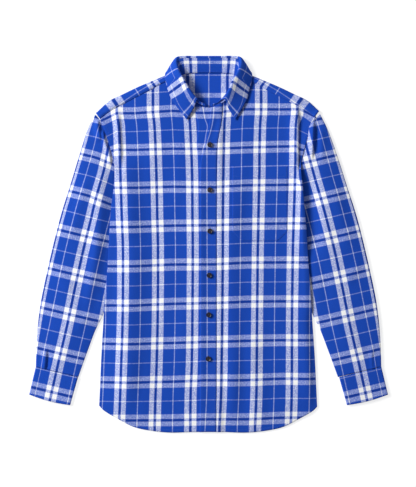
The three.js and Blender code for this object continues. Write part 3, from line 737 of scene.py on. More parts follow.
def flannelMaterial(name, stripesGroup, weave):
    material, desk, shader = newMaterial(name)
    uv = desk.node("ShaderNodeUVMap", uv_map="check")
    split = desk.node("ShaderNodeSeparateXYZ")
    desk.join(uv.outputs[0], split.inputs[0])

    runs = []
    for k, axis in enumerate("XY"):
        made = desk.node("ShaderNodeGroup")
        made.node_tree = stripesGroup
        desk.join(split.outputs[axis], made.inputs["Repeats"])
        made.inputs["Double offset"].default_value = flannel["doubleOffset"][k]
        made.inputs["Double half width"].default_value = flannel["doubleHalfWidth"][k]
        made.inputs["Thin half width"].default_value = flannel["thinHalfWidth"][k]
        runs.append(made)

    toMillimetres = desk.node("ShaderNodeVectorMath", operation="MULTIPLY")
    toMillimetres.inputs[1].default_value = (garment["repeatAcross"], garment["repeatAlong"], 1)
    desk.join(uv.outputs[0], toMillimetres.inputs[0])
    woven = desk.node("ShaderNodeGroup")
    woven.node_tree = weave
    woven.inputs["Yarn"].default_value = flannel["yarn"]
    woven.inputs["Mottle"].default_value = flannel["mottle"]
    desk.join(toMillimetres.outputs[0], woven.inputs["Vector"])

    warp, weft = runs[0].outputs["Stripe"], runs[1].outputs["Stripe"]
    warpShare = desk.maths("ADD", flannel["warpFace"], woven.outputs["Over"])
    weftShare = desk.maths("SUBTRACT", 1 - flannel["warpFace"], woven.outputs["Over"])
    share = desk.maths("MULTIPLY", warp, warpShare)
    share = desk.maths("ADD", share, desk.maths("MULTIPLY", weft, weftShare), clamp=True)
    gap = desk.maths("ADD", runs[0].outputs["Gap"], runs[1].outputs["Gap"], clamp=True)

    ground = desk.mixColour(gap, flannel["ground"], flannel["deepGround"])
    half = desk.mapRange(share, 0.0, 0.5, 0.0, 1.0)
    full = desk.mapRange(share, 0.5, 1.0, 0.0, 1.0)
    colour = desk.mixColour(full, desk.mixColour(half, ground, flannel["lavender"]), flannel["light"])
    brushed = desk.mapRange(woven.outputs["Fibre"], -0.5, 0.5, *flannel["fibreTone"])
    tone = desk.node("ShaderNodeVectorMath", operation="SCALE")
    desk.join(colour, tone.inputs[0])
    desk.join(brushed, tone.inputs["Scale"])
    desk.join(tone.outputs[0], shader.inputs["Base Color"])
    roughness = desk.mapRange(woven.outputs["Fibre"], -0.5, 0.5, *flannel["fibreRoughness"])
    desk.join(roughness, shader.inputs["Roughness"])

    bump = desk.node("ShaderNodeBump")
    bump.inputs["Strength"].default_value = flannel["bumpStrength"]
    bump.inputs["Distance"].default_value = flannel["bumpDistance"]
    desk.join(woven.outputs["Height"], bump.inputs["Height"])
    desk.join(bump.outputs[0], shader.inputs["Normal"])
    shader.inputs["Specular IOR Level"].default_value = flannel["shine"]
    shader.inputs["Sheen Weight"].default_value = flannel["sheen"]
    shader.inputs["Sheen Roughness"].default_value = flannel["sheenRoughness"]
    return material


checkStripes = stripeGroup()
brushedTwill = weaveGroup()
flannelCloth = flannelMaterial("flannelCloth", checkStripes, brushedTwill)
print("flannel made")


def finishPiece(piece, node):
    piece.data.materials.append(flannelCloth)
    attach(piece, "root")
    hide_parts(node)


# Stitches: short threads that geometry nodes set along a path on the cloth.

stitch = {
    "pitch": 3.1,
    "length": 2.3,
    "thickness": 0.45,
    "rise": 0.08,
    "sunk": -0.1,  # the rise of a row on a face that lies on the table
    "lowest": 0.26,
    "smallest": (0.86, 0.9, 0.9),
    "largest": (1.08, 1.1, 1.1),
    "colour": (0.02, 0.075, 0.4, 1),
    "fleck": (0.07, 0.15, 0.56, 1),
    "roughness": 0.62,
    "fleckScale": 1600,
}


def threadMaterial(name, colour, fleck):
    material, desk, shader = newMaterial(name)
    place = desk.node("ShaderNodeTexCoord")
    noise = desk.node("ShaderNodeTexNoise")
    noise.inputs["Scale"].default_value = stitch["fleckScale"]
    desk.join(place.outputs["Object"], noise.inputs["Vector"])
    share = desk.mapRange(noise.outputs[0], 0.4, 0.62, 0.0, 1.0)
    desk.join(desk.mixColour(share, colour, fleck), shader.inputs["Base Color"])
    shader.inputs["Roughness"].default_value = stitch["roughness"]
    return material


def stitchTree():
    tree = bpy.data.node_groups.new("stitchRow", "GeometryNodeTree")
    sockets = [("Path", "NodeSocketGeometry"), ("Pitch", "NodeSocketFloat"), ("Length", "NodeSocketFloat"),
               ("Thickness", "NodeSocketFloat"), ("Thread", "NodeSocketMaterial"), ("Seed", "NodeSocketInt")]
    for name, kind in sockets:
        tree.interface.new_socket(name=name, in_out="INPUT", socket_type=kind)
    tree.interface.new_socket(name="Stitches", in_out="OUTPUT", socket_type="NodeSocketGeometry")
    desk = nodeDesk(tree)
    given, out = desk.node("NodeGroupInput").outputs, desk.node("NodeGroupOutput")
    curve = desk.node("GeometryNodeMeshToCurve")
    desk.join(given["Path"], curve.inputs["Mesh"])
    spaced = desk.node("GeometryNodeResampleCurve", mode="LENGTH")
    desk.join(curve.outputs[0], spaced.inputs["Curve"])
    desk.join(given["Pitch"], spaced.inputs["Length"])
    size = desk.node("ShaderNodeCombineXYZ")
    for k, name in enumerate(("Length", "Thickness", "Thickness")):
        desk.join(given[name], size.inputs[k])
    bead = desk.node("GeometryNodeMeshIcoSphere")
    bead.inputs["Radius"].default_value = 0.5
    bead.inputs["Subdivisions"].default_value = 1
    thread = desk.node("GeometryNodeTransform")
    desk.join(bead.outputs[0], thread.inputs["Geometry"])
    desk.join(size.outputs[0], thread.inputs["Scale"])
    turn = desk.node("FunctionNodeAlignRotationToVector", axis="X")
    desk.join(desk.node("GeometryNodeInputTangent").outputs[0], turn.inputs["Vector"])
    uneven = desk.node("FunctionNodeRandomValue", data_type="FLOAT_VECTOR")
    uneven.inputs[0].default_value = stitch["smallest"]
    uneven.inputs[1].default_value = stitch["largest"]
    desk.join(given["Seed"], uneven.inputs["Seed"])
    placed = desk.node("GeometryNodeInstanceOnPoints")
    desk.join(spaced.outputs[0], placed.inputs["Points"])
    desk.join(thread.outputs[0], placed.inputs["Instance"])
    desk.join(turn.outputs[0], placed.inputs["Rotation"])
    desk.join(uneven.outputs[0], placed.inputs["Scale"])
    real = desk.node("GeometryNodeRealizeInstances")
    desk.join(placed.outputs[0], real.inputs[0])
    coloured = desk.node("GeometryNodeSetMaterial")
    desk.join(real.outputs[0], coloured.inputs["Geometry"])
    desk.join(given["Thread"], coloured.inputs["Material"])
    desk.join(coloured.outputs[0], out.inputs[0])
    return tree


stitchRow = stitchTree()
blueThread = threadMaterial("blueThread", stitch["colour"], stitch["fleck"])


def onCloth(rows, thickness, places, face=1, ring=False, rise=stitch["rise"]):
    # points just off one face of a cloth, at places counted in rows and columns of its grid
    normal = facing(rows, ring)
    j, i = np.array(places, float).T
    j0 = np.clip(j.astype(int), 0, rows.shape[0] - 2)
    i0 = np.clip(i.astype(int), 0, rows.shape[1] - 2)
    tj, ti = (j - j0)[:, None], (i - i0)[:, None]

    def read(grid):
        low = between(grid[j0, i0], grid[j0, i0 + 1], ti)
        high = between(grid[j0 + 1, i0], grid[j0 + 1, i0 + 1], ti)
        return between(low, high, tj)

    points = read(rows) + face * read(normal) * (thickness / 2 + rise)
    points[:, 2] = np.maximum(points[:, 2], stitch["lowest"])
    return points


def gridLine(start, end, steps=160):
    shares = np.linspace(0, 1, steps + 1)
    return [(between(start[0], end[0], t), between(start[1], end[1], t)) for t in shares]


def upperPart(path, above=2.6):
    # the run of a closed path that doesn't lie on the table
    path = np.roll(path, -int(np.argmin(path[:, 2])), 0)
    return path[path[:, 2] > above]


def stitchPiece(name, paths, pitch=stitch["pitch"], length=stitch["length"], thickness=stitch["thickness"],
                thread=blueThread, seed=1):
    edges, count = [], 0
    for path in paths:
        edges += [(count + k, count + k + 1) for k in range(len(path) - 1)]
        count += len(path)
    mesh = bpy.data.meshes.new(name)
    mesh.from_pydata((np.concatenate(paths) * mm).tolist(), edges, [])
    piece = bpy.data.objects.new(name, mesh)
    scene.collection.objects.link(piece)
    made = piece.modifiers.new("stitches", "NODES")
    made.node_group = stitchRow
    values = {
        "Pitch": pitch * mm,
        "Length": length * mm,
        "Thickness": thickness * mm,
        "Thread": thread,
        "Seed": seed,
    }
    for item in stitchRow.interface.items_tree:
        if item.in_out == "INPUT" and item.name in values:
            made[item.identifier] = values[item.name]
    shown = piece.evaluated_get(bpy.context.evaluated_depsgraph_get())
    piece.data = bpy.data.meshes.new_from_object(shown)
    piece.data.name = name
    piece.modifiers.clear()
    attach(piece, "root")


# Back.

backPiece = {"across": 120, "along": 190, "seamY": 262, "hemRow": 1.6, "flat": (0.474, 0.67), "area": 0.29}
# Pressed creases in the back, which has a little room to rise inside the shirt.
backFolds = [
    (-96, 230, -118, 20, 0.9, 9, 14, 6),
    (64, 246, 88, 70, 0.8, 12, 8, -5),
    (-20, 150, -8, -90, 0.7, 8, 12, 4),
    (-150, -40, -128, -260, 1.0, 13, 8, -7),
    (128, 20, 146, -190, 0.9, 8, 13, 5),
    (36, -140, 22, -350, 0.8, 10, 7, -4),
    (-84, -210, -98, -380, 0.7, 7, 11, 3),
    (168, -230, 156, -360, 0.8, 8, 8, 2),
    (-186, 96, -160, 30, 0.9, 7, 10, 2),
    (182, 120, 158, 58, 0.8, 9, 6, -2),
]


def backEdge(side):
    def read(y):
        return side * (edgeOf[side](y) - lie["backInset"] * besideSleeve(y))
    return read


def backRows():
    def height(x, y):
        return clothWall / 2 + creased(backFolds, x, y)
    return panelRows(
        backEdge(-1), backEdge(1), hemY, lambda x: backPiece["seamY"] - seamGap + 0 * x, height,
        backPiece["across"], backPiece["along"],
    )


rows = backRows()
backCheck = np.stack([rows[..., 0] / garment["repeatAcross"], alongBody(rows[..., 0], rows[..., 1])], axis=-1)
back = clothShell("backCloth", rows, clothWall, backCheck)
finishPiece(back, "back")
hem = gridLine((backPiece["hemRow"], 1), (backPiece["hemRow"], backPiece["across"] - 1))
stitchPiece("backHemStitches", [onCloth(rows, clothWall, hem, -1, rise=stitch["sunk"])], seed=2)


# Fronts.

frontPiece = {
    "across": 96,
    "along": 220,
    "hemRow": 1.9,
    "hemInset": 0.6,
    "armholeRows": (182, 217),
    "armholeInset": 5.6,
    "flat": {-1: (0.26, 0.77), 1: (0.28, 0.77)},
    "area": {-1: 0.17, 1: 0.18},
}


def frontSide(side):
    def read(y):
        return side * (edgeOf[side](y) + lie["overhang"] * besideSleeve(y))
    return read


def rightTopAt(x):
    # the right front's top edge mirrors the left one's, whose table starts a little past the middle
    return frontTopAt(np.maximum(-x, frontTop["x"][0]))


def frontRightRows():
    return panelRows(
        frontSide(-1), lowerEdge, hemY, rightTopAt, lambda x, y: frontHeight(x, y) + clothWall / 2,
        frontPiece["across"], frontPiece["along"], crowdEnds,
    )


def frontLeftRows():
    return panelRows(
        upperEdge, frontSide(1), hemY, frontTopAt, lambda x, y: lapHeight(x, y) + clothWall / 2,
        frontPiece["across"], frontPiece["along"], crowdEnds,
    )


for side, word, frontRows, restsOn in (
    (-1, "right", frontRightRows, ["back"]),
    (1, "left", frontLeftRows, ["back", "front_right"]),
):
    rows = frontRows()
    front = clothShell(f"front{word.capitalize()}Cloth", rows, clothWall, checkOnFront(side, rows))
    finishPiece(front, f"front_{word}")
    hemRow, hemInset = frontPiece["hemRow"], frontPiece["hemInset"]
    low, high = frontPiece["armholeRows"]
    column = frontPiece["armholeInset"] if side < 0 else frontPiece["across"] - frontPiece["armholeInset"]
    stitchPiece(f"front{word.capitalize()}Stitches", [
        onCloth(rows, clothWall, gridLine((hemRow, hemInset), (hemRow, frontPiece["across"] - hemInset))),
        onCloth(rows, clothWall, gridLine((low, column), (high, column))),
    ], seed=3 if side < 0 else 4)
print("back and fronts made")


# Button bands and pocket.

# Trims lie close on their panel, so that their edges stay soft.
trim = {"wall": 0.4, "above": 1.25, "edgeDip": 0.4}
trimRise = trim["above"] + trim["wall"] / 2

bandPiece = {
    "width": 36.5,
    "across": 14,
    "along": 220,
    "ripple": 0.12,
    "dipWidth": 4,
    "endInset": 0.5,
    "stitchInset": 1.5,
    "underColumn": 12.8,
    "flat": (0.0365, 0.705),
}
bandLines = {
    "y": [-408, -300, 200, 221.9, 237.5, 258.7, 276.1, 287.8, 300],
    "top": [-8, -3.6, -3.6, -2.8, 1.8, 7.4, 10, 11, 11.5],
    "underY": [-408, 202.4, 221.9, 240, 257.3, 274, 295.7, 302],
    "under": [-10, -12.8, -8.2, -5.6, -2.8, -8.2, -11.9, -13],
}
topLine = track(bandLines["y"], bandLines["top"])
underLine = track(bandLines["underY"], bandLines["under"])



def bandPath(rows, column):
    # a row of stitches along a band, from hem to neck
    low, high = bandPiece["endInset"], bandPiece["along"] - bandPiece["endInset"]
    return onCloth(rows, trim["wall"], gridLine((low, column), (high, column), 600))


rows = panelRows(
    lambda y: lowerEdge(y) - bandPiece["width"], lambda y: lowerEdge(y) - seamGap,
    lambda x: hemY(x) + seamGap, lambda x: rightTopAt(x) - seamGap,
    lambda x, y: frontHeight(x, y) + trimRise,
    bandPiece["across"], bandPiece["along"],
)
bandUnder = clothShell("bandUnderCloth", rows, trim["wall"], checkOnBand(rows, underLine))
finishPiece(bandUnder, "band_under")
stitchPiece("bandUnderStitches", [bandPath(rows, bandPiece["underColumn"])], seed=5)


def bandTopHeight(x, y):
    # the placket ripples faintly, and its right edge is pressed into the front
    ripple = bandPiece["ripple"]
    dip = trim["edgeDip"] * easeStep(x - bandEdge(y), -bandPiece["dipWidth"], 0)
    return lapHeight(x, y) + trimRise + ripple + ripple * np.sin(y / 7.3 + 2 * np.sin(y / 31)) - dip


rows = panelRows(
    lambda y: upperEdge(y) + seamGap, bandEdge,
    lambda x: hemY(x) + seamGap, lambda x: frontTopAt(x) - seamGap, bandTopHeight,
    bandPiece["across"], bandPiece["along"],
)
bandTop = clothShell("bandTopCloth", rows, trim["wall"], checkOnBand(rows, topLine))
finishPiece(bandTop, "band_top")
columns = (bandPiece["stitchInset"], bandPiece["across"] - bandPiece["stitchInset"])
stitchPiece("bandTopStitches", [bandPath(rows, column) for column in columns], seed=6)


# Each hole reaches a little above and below its button, and the fourth sits a little high.
buttonhole = {
    "half": 7.6,
    "wide": 1.0,
    "square": 1.15,
    "steps": 24,
    "shift": [0.4, -0.3, 0.6, 2.2, 0.2, -0.4],
    "rise": 0.15,
    "pitch": 0.55,
    "length": 0.95,
    "thickness": 0.7,
}


def buttonholePath(rows, x, y):
    # the worked outline of a buttonhole, tall and narrow, under its button
    corners = []
    for k in range(buttonhole["steps"] + 1):
        turn = 2 * math.pi * k / buttonhole["steps"]
        tall = buttonhole["half"] * max(-1, min(1, buttonhole["square"] * math.sin(turn)))
        at = (x + buttonhole["wide"] * math.cos(turn), y + tall)
        bottom, top = float(hemY(at[0])) + seamGap, float(frontTopAt(at[0])) - seamGap
        left, right = float(upperEdge(at[1])) + seamGap, float(bandEdge(at[1]))
        corners.append((bandPiece["along"] * (at[1] - bottom) / (top - bottom),
                        bandPiece["across"] * (at[0] - left) / (right - left)))
    return onCloth(rows, trim["wall"], corners, rise=buttonhole["rise"])


holePaths = []
for k, shift in enumerate(buttonhole["shift"]):
    low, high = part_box(f"button_{k + 1}")
    middleX, middleY = (low[0] + high[0]) / 2 / mm, (low[1] + high[1]) / 2 / mm
    holePaths.append(buttonholePath(rows, middleX, middleY + shift))
stitchPiece(
    "buttonholeStitches", holePaths, buttonhole["pitch"], buttonhole["length"], buttonhole["thickness"],
    seed=7,
)

pocketPiece = {
    "left": 51.5,
    "right": 170.5,
    "top": 170,
    "bottom": 7,
    "mitre": 21,
    "across": 60,
    "along": 80,
    "dipWidth": 4,
    "slip": (-0.004, 0.004),  # the pocket's check misses the front's by this much, in repeats
    "stitchInset": 1.2,
    "stitchTop": 79.4,
    "topHem": 68,
    "flat": (0.119, 0.163),
}


def pocketBottom(x):
    inset = np.minimum(x - pocketPiece["left"], pocketPiece["right"] - x)
    return pocketPiece["bottom"] + np.maximum(0, pocketPiece["mitre"] - inset)


def pocketHeight(x, y):
    inset = np.minimum(pocketPiece["right"] - x, y - pocketBottom(x))
    return lapHeight(x, y) + trimRise - trim["edgeDip"] * (1 - easeStep(inset, 0, pocketPiece["dipWidth"]))


rows = panelRows(
    lambda y: pocketPiece["left"] + 0 * y, lambda y: pocketPiece["right"] + 0 * y,
    pocketBottom, lambda x: pocketPiece["top"] + 0 * x, pocketHeight,
    pocketPiece["across"], pocketPiece["along"],
)
pocket = clothShell("pocketCloth", rows, trim["wall"], checkOnFront(1, rows) + np.array(pocketPiece["slip"]))
finishPiece(pocket, "pocket")
left, top = pocketPiece["stitchInset"], pocketPiece["stitchTop"]
right = pocketPiece["across"] - left
corners = [(top, left), (left, left), (left, right), (top, right)]
lines = [*zip(corners, corners[1:]), ((pocketPiece["topHem"], left), (pocketPiece["topHem"], right))]
stitchPiece("pocketStitches", [onCloth(rows, trim["wall"], gridLine(*line)) for line in lines], seed=8)
print("bands and pocket made")


# Sleeves and cuffs.

sleevePiece = {
    "topSteps": 54,
    "floorSteps": 14,
    "rings": 190,
    "crowding": 1.1,
    "gap": 1.5,
    "outerRadius": 2.2,
    "innerRadius": 1,
    "fullPuff": 3,
    "flat": (0.26, 0.60),
    "area": 0.118,
}
sleeveSections = {
    "outerX": [244.8, 261, 278.4, 300, 321.8, 341.4, 358.7, 365.6, 370, 372.8, 373.9],
    "outerY": [282.4, 248, 196, 126.4, 57, -21, -99.3, -140, -180, -222, -264.2],
    "innerY": [161, 136, 102, 54, 6, -55, -116, -151, -188, -236, -287],
    "apart": [-3.5, -3.5, -3.5, -3.5, -3.5, -3.5, -2.5, 1.8, 17, 32, 48],
    "puff": [0.4, 3.6, 5.4, 5.8, 5.2, 4.7, 4.5, 4.5, 4, 3.5, 1.6],
    "bow": [1, 0.75, 0.3, 0.1, 0, 0, 0, 0, 0, 0, 0],
}
sleeveRead = {name: track(range(len(values)), values) for name, values in sleeveSections.items()}
underFolds = [
    (-300, 40, -262, -10, 0.9, 9, 12, 3),
    (-322, -70, -276, -120, 0.8, 8, 11, -3),
    (-338, -190, -316, -252, 0.9, 6, 9, 2),
    (286, 60, 268, -40, 0.8, 11, 8, -4),
    (330, -90, 288, -140, 0.9, 11, 8, 3),
    (344, -180, 330, -250, 0.7, 8, 6, -2),
]


def sleeveTuck(side, y):
    # how far the sleeve's inner edge lies from the body's: under the front, but clear of the yoke's end
    return sleevePiece["gap"] - (sleevePiece["gap"] + lie["tuck"]) * (1 - easeStep(y, *lie["tuckUntil"]))


def tubeRing(width, wall, outerRadius, innerRadius, topSteps, floorSteps):
    # round a flat tube from its inner edge, over the top to the outer edge and back along the floor
    floor = wall / 2
    arcSteps = 5
    nearOuter, nearInner = (floor + outerRadius) / width, 1 - (floor + innerRadius) / width
    share, lift, top = [], [], []
    for k in range(arcSteps + 1):
        angle = math.pi / 2 * k / arcSteps
        share.append(nearInner + math.cos(angle) * innerRadius / width)
        lift.append(innerRadius * (1 + math.sin(angle)))
        top.append(1)
    for k in range(1, topSteps):
        t = k / topSteps
        share.append(between(nearInner, nearOuter, t))
        lift.append(2 * between(innerRadius, outerRadius, t))
        top.append(1)
    for k in range(2 * arcSteps + 1):
        angle = math.pi / 2 - math.pi * k / (2 * arcSteps)
        share.append(nearOuter - math.cos(angle) * outerRadius / width)
        lift.append(outerRadius * (1 + math.sin(angle)))
        top.append(1 if angle > 0 else 0)
    for k in range(1, floorSteps):
        share.append(between(nearOuter, nearInner, k / floorSteps))
        lift.append(0)
        top.append(0)
    for k in range(arcSteps):
        angle = -math.pi / 2 + math.pi / 2 * k / arcSteps
        share.append(nearInner + math.cos(angle) * innerRadius / width)
        lift.append(innerRadius * (1 + math.sin(angle)))
        top.append(0)
    return np.array(share), np.array(lift), np.array(top)


def tubeCheck(side, points, share, width, top):
    # the check goes over the outer edge without a break, and meets itself at the seam on the inner edge
    x, y = points[:, 0], points[:, 1]
    u, v = checkOnSleeve(side, x, y, share * width)
    edge = u[np.argmin(share)]
    u = np.where(top > 0, u, 2 * edge - u)
    u = np.append(u, 2 * edge - u[0])
    return np.stack([u, np.append(v, v[0])], axis=1)


def sleeveRows(side):
    rows, check = [], []
    lastSection = len(sleeveSections["outerX"]) - 1
    shoulderY, underarmY = sleeveSections["outerY"][0], sleeveSections["innerY"][0]
    shoulderX = float(edgeOf[side](shoulderY) + sleeveTuck(side, shoulderY))
    underarmX = float(edgeOf[side](underarmY) + sleeveTuck(side, underarmY))
    for k in range(sleevePiece["rings"] + 1):
        station = lastSection * (k / sleevePiece["rings"]) ** sleevePiece["crowding"]
        at = {name: float(read(station)) for name, read in sleeveRead.items()}
        outer = np.array([at["outerX"] + (shoulderX - sleeveSections["outerX"][0]) * at["bow"], at["outerY"]])
        inner = np.array([float(edgeOf[side](at["innerY"])) + at["apart"], at["innerY"]])
        width = float(np.hypot(*(outer - inner)))
        share, lift, top = tubeRing(
            width, clothWall, sleevePiece["outerRadius"], sleevePiece["innerRadius"],
            sleevePiece["topSteps"], sleevePiece["floorSteps"],
        )
        armholeY = between(shoulderY, underarmY, share)
        curve = edgeOf[side](armholeY) + sleeveTuck(side, armholeY) - between(shoulderX, underarmX, share)
        x = side * (between(outer[0], inner[0], share) + at["bow"] * curve)
        y = between(outer[1], inner[1], share)
        arch = np.sin(np.pi * np.clip(share, 0, 1))
        folds = creased(sleeveFolds, x, y) + creased(cuffPleats, x, y)
        ripple = lie["sleeveRipple"] * settled(x, y, 2.1 + side)
        ripple = ripple * min(1, at["puff"] / sleevePiece["fullPuff"])
        rise = at["puff"] * arch ** 0.8 + (folds + ripple) * np.minimum(1, 3 * arch)
        z = clothWall / 2 + lift + top * np.maximum(rise, -0.8 * lift)
        z = z + (1 - top) * np.minimum(lift + 1, 1) * creased(underFolds, x, y) * np.minimum(1, 3 * arch)
        points = np.stack([x, y, z], axis=1)
        rows.append(points)
        check.append(tubeCheck(side, points, share, width, top))
    return np.array(rows), np.array(check)


cuffPiece = {
    "seamOuter": (373.9, -264.2), "seamInner": (282.3, -287), "endOuter": (388.4, -324.6),
    "endInner": (299.5, -347.6), "sag": 3, "loft": 0.8, "ripple": 0.35, "radius": 2, "rings": 26,
    "topSteps": 44, "floorSteps": 14, "start": 0.008, "stitchRings": (1.4, 24.4), "flat": (0.184, 0.062),
}


def cuffRows(side):
    rows, check = [], []
    for t in np.linspace(cuffPiece["start"], 1, cuffPiece["rings"] + 1):
        outer = between(np.array(cuffPiece["seamOuter"]), np.array(cuffPiece["endOuter"]), t)
        inner = between(np.array(cuffPiece["seamInner"]), np.array(cuffPiece["endInner"]), t)
        width = float(np.hypot(*(outer - inner)))
        share, lift, top = tubeRing(
            width, cuffWall, cuffPiece["radius"], cuffPiece["radius"],
            cuffPiece["topSteps"], cuffPiece["floorSteps"],
        )
        arch = np.sin(np.pi * np.clip(share, 0, 1))
        x = side * between(outer[0], inner[0], share)
        y = between(outer[1], inner[1], share) - cuffPiece["sag"] * t * arch
        ripple = cuffPiece["ripple"] * settled(1.6 * x, 1.6 * y, 0.4 + side)
        z = cuffWall / 2 + lift + top * (cuffPiece["loft"] * arch + ripple * np.minimum(1, 3 * arch))
        points = np.stack([x, y, z], axis=1)
        rows.append(points)
        check.append(tubeCheck(side, points, share, width, top))
    return np.array(rows), np.array(check)


for side, word in ((-1, "right"), (1, "left")):
    rows, check = sleeveRows(side)
    sleeve = clothShell(f"sleeve{word.capitalize()}Cloth", rows, clothWall, check, ring=True)
    finishPiece(sleeve, f"sleeve_{word}")
    rows, check = cuffRows(side)
    cuff = clothShell(f"cuff{word.capitalize()}Cloth", rows, cuffWall, check, ring=True)
    finishPiece(cuff, f"cuff_{word}")
    around = cuffPiece["topSteps"] + cuffPiece["floorSteps"]
    paths = []
    for ring in cuffPiece["stitchRings"]:
        path = onCloth(rows, cuffWall, gridLine((ring, 1), (ring, around)), -side, ring=True)
        paths.append(upperPart(path))
    stitchPiece(f"cuff{word.capitalize()}Stitches", paths, seed=9 + side)
print("sleeves and cuffs made")


# Yoke.

yokePiece = {
    "foldReach": 6,
    "lapOver": 2.4,
    "endY": 283,
    "stripEndY": 272.5,
    "neckPoint": 75,
    "neckStart": 60,
    "neckNarrow": 0.95,
    "neckShift": 4,
    "neckUnder": 2.2,
    "shoulderSteps": 60,
    "neckSteps": 24,
    "flatSteps": 44,
    "turnSteps": 10,
    "stripSteps": 8,
    "crown": 0.7,
    "edgeDip": 0.95,
    "dipFrom": 0.6,
    "stripInset": 1.6,
    "seamInset": 1.2,
    "flat": (0.49, 0.125),
    "area": 0.052,
}
yokeCheckRows = {
    "middle": 0.5,
    "repeats": (92, 80.5),
    "y": [255, 306, 318, 323, 328, 340, 367, 372],
    "v": [0.44, 0.26, 0.156, 0.0942, 0.156, 0.26, 0.5, 0.56],
}
# Where the check falls on the strips over the shoulders, by distance from the middle of the neck.
stripCheckAt = {
    "repeats": [0.5, 0, -0.5, -1, -1.5],
    "right": [85, 119.4, 154, 201.6, 249],
    "left": [85, 118, 149, 196, 243],
    "lean": 3, "thinLine": 0.55, "thinSlope": 0.007, "thinFrom": 154,
}


def yokeStations(side):
    # from armhole to neck, each a point on the back seam, one on the shoulder fold and one on the front seam
    gap = sleevePiece["gap"]
    edge = edgeOf[side]
    reach = float(edge(yokePiece["endY"])) - gap
    armholeShift = reach - float(edge(yokePiece["stripEndY"])) + gap
    stations = []
    for k in range(yokePiece["shoulderSteps"] + 1):
        t = k / yokePiece["shoulderSteps"]
        x = between(reach, yokePiece["neckPoint"], t)
        seamX = x - between(armholeShift, yokePiece["neckShift"], t)
        baseX = x * (float(edge(backPiece["seamY"])) - gap) / reach
        seamY = float(frontTopAt(seamX)) - yokePiece["lapOver"]
        base = (side * baseX, backPiece["seamY"])
        stations.append((base, (side * x, float(shoulderAt(x))), (side * seamX, seamY)))
    for k in range(yokePiece["neckSteps"]):
        x = between(yokePiece["neckStart"], 0, k / yokePiece["neckSteps"])
        base = (side * x * yokePiece["neckNarrow"], backPiece["seamY"])
        stations.append((base, (side * x, float(neckAt(x)) + yokePiece["neckUnder"]), None))
    return stations


def yokeRows():
    middle = ((0, backPiece["seamY"]), (0, float(neckAt(0)) + yokePiece["neckUnder"]), None)
    stations = yokeStations(-1) + [middle] + yokeStations(1)[::-1]
    floor = clothWall / 2
    flatSteps, turnSteps, stripSteps = (yokePiece[name] for name in ("flatSteps", "turnSteps", "stripSteps"))
    foldReach = yokePiece["foldReach"]
    rows = np.zeros((flatSteps + turnSteps + stripSteps + 1, len(stations), 3))
    stripCheck = np.zeros(rows.shape[:2] + (2,))
    for i, (base, fold, seam) in enumerate(stations):
        base, fold = np.array(base, float), np.array(fold, float)
        inward = np.zeros(2)
        if seam is not None:
            toSeam = np.array(seam) - fold
            width = float(np.hypot(*toSeam))
            unit = toSeam / width
            inward = unit * foldReach
            word = "right" if seam[0] < 0 else "left"
            middleX = abs(fold[0] + seam[0]) / 2
            past = middleX - stripCheckAt["thinFrom"]
            thinAt = stripCheckAt["thinLine"] + stripCheckAt["thinSlope"] * past
        for j in range(flatSteps + 1):
            rows[j, i] = [*between(base, fold + inward, j / flatSteps), floor]
        for j in range(1, turnSteps + stripSteps + 1):
            row = flatSteps + j
            if seam is None:
                rows[row, i] = [*fold, floor]
                continue
            low = float(frontHeight(np.array(seam[0]), np.array(seam[1]))) + layer + clothWall / 2
            angle = math.pi * min(j / turnSteps, 1)
            strip = max(j - turnSteps, 0) / stripSteps
            if strip > 0:
                distance = between(foldReach, width, strip)
            else:
                distance = foldReach * (1 - math.sin(angle))
            at = fold + unit * distance
            crown = yokePiece["crown"] * math.sin(math.pi * strip)
            dip = yokePiece["edgeDip"] * float(easeStep(strip, yokePiece["dipFrom"], 1))
            rows[row, i] = [*at, floor + (low - floor) / 2 * (1 - math.cos(angle)) + crown - dip]
            out = middleX + stripCheckAt["lean"] * (distance / width - 0.5)
            u = np.interp(out, stripCheckAt[word], stripCheckAt["repeats"])
            stripCheck[row, i] = [u, 0.5 + (thinAt * width - distance) / garment["repeatAlong"]]
        if seam is not None:
            stripCheck[flatSteps, i] = stripCheck[flatSteps + 1, i] + np.array([0, 0.02])
    turned = np.array([station[2] is not None for station in stations])
    keep = np.zeros((len(rows) - 1, len(stations) - 1), bool)
    keep[:flatSteps] = True
    keep[flatSteps:] = (turned[:-1] & turned[1:])[None, :]
    return rows, stripCheck, keep


rows, stripCheck, keep = yokeRows()
middleX = yokeCheckRows["middle"]
acrossYoke = 0.5 + (rows[..., 0] - middleX) / np.where(rows[..., 0] < middleX, *yokeCheckRows["repeats"])
alongYoke = np.interp(rows[..., 1], yokeCheckRows["y"], yokeCheckRows["v"])
yoke = clothShell(
    "yokeCloth", rows, clothWall, np.stack([acrossYoke, alongYoke], axis=-1), keep=keep,
    turnRow=yokePiece["flatSteps"], turnCheck=stripCheck,
)
finishPiece(yoke, "yoke")
lastRow, lastStation = rows.shape[0] - 1, rows.shape[1] - 1
stripRow, seamRow = lastRow - yokePiece["stripInset"], yokePiece["seamInset"]
rightNeck = yokePiece["shoulderSteps"] - 1
leftNeck = lastStation - rightNeck
stitchPiece("yokeStitches", [
    onCloth(rows, clothWall, gridLine((stripRow, 1), (stripRow, rightNeck)), -1),
    onCloth(rows, clothWall, gridLine((stripRow, lastStation - 1), (stripRow, leftNeck)), -1),
    onCloth(rows, clothWall, gridLine((seamRow, 1), (seamRow, lastStation - 1)), -1, rise=stitch["sunk"]),
], seed=12)
print("yoke made")


# Collar.

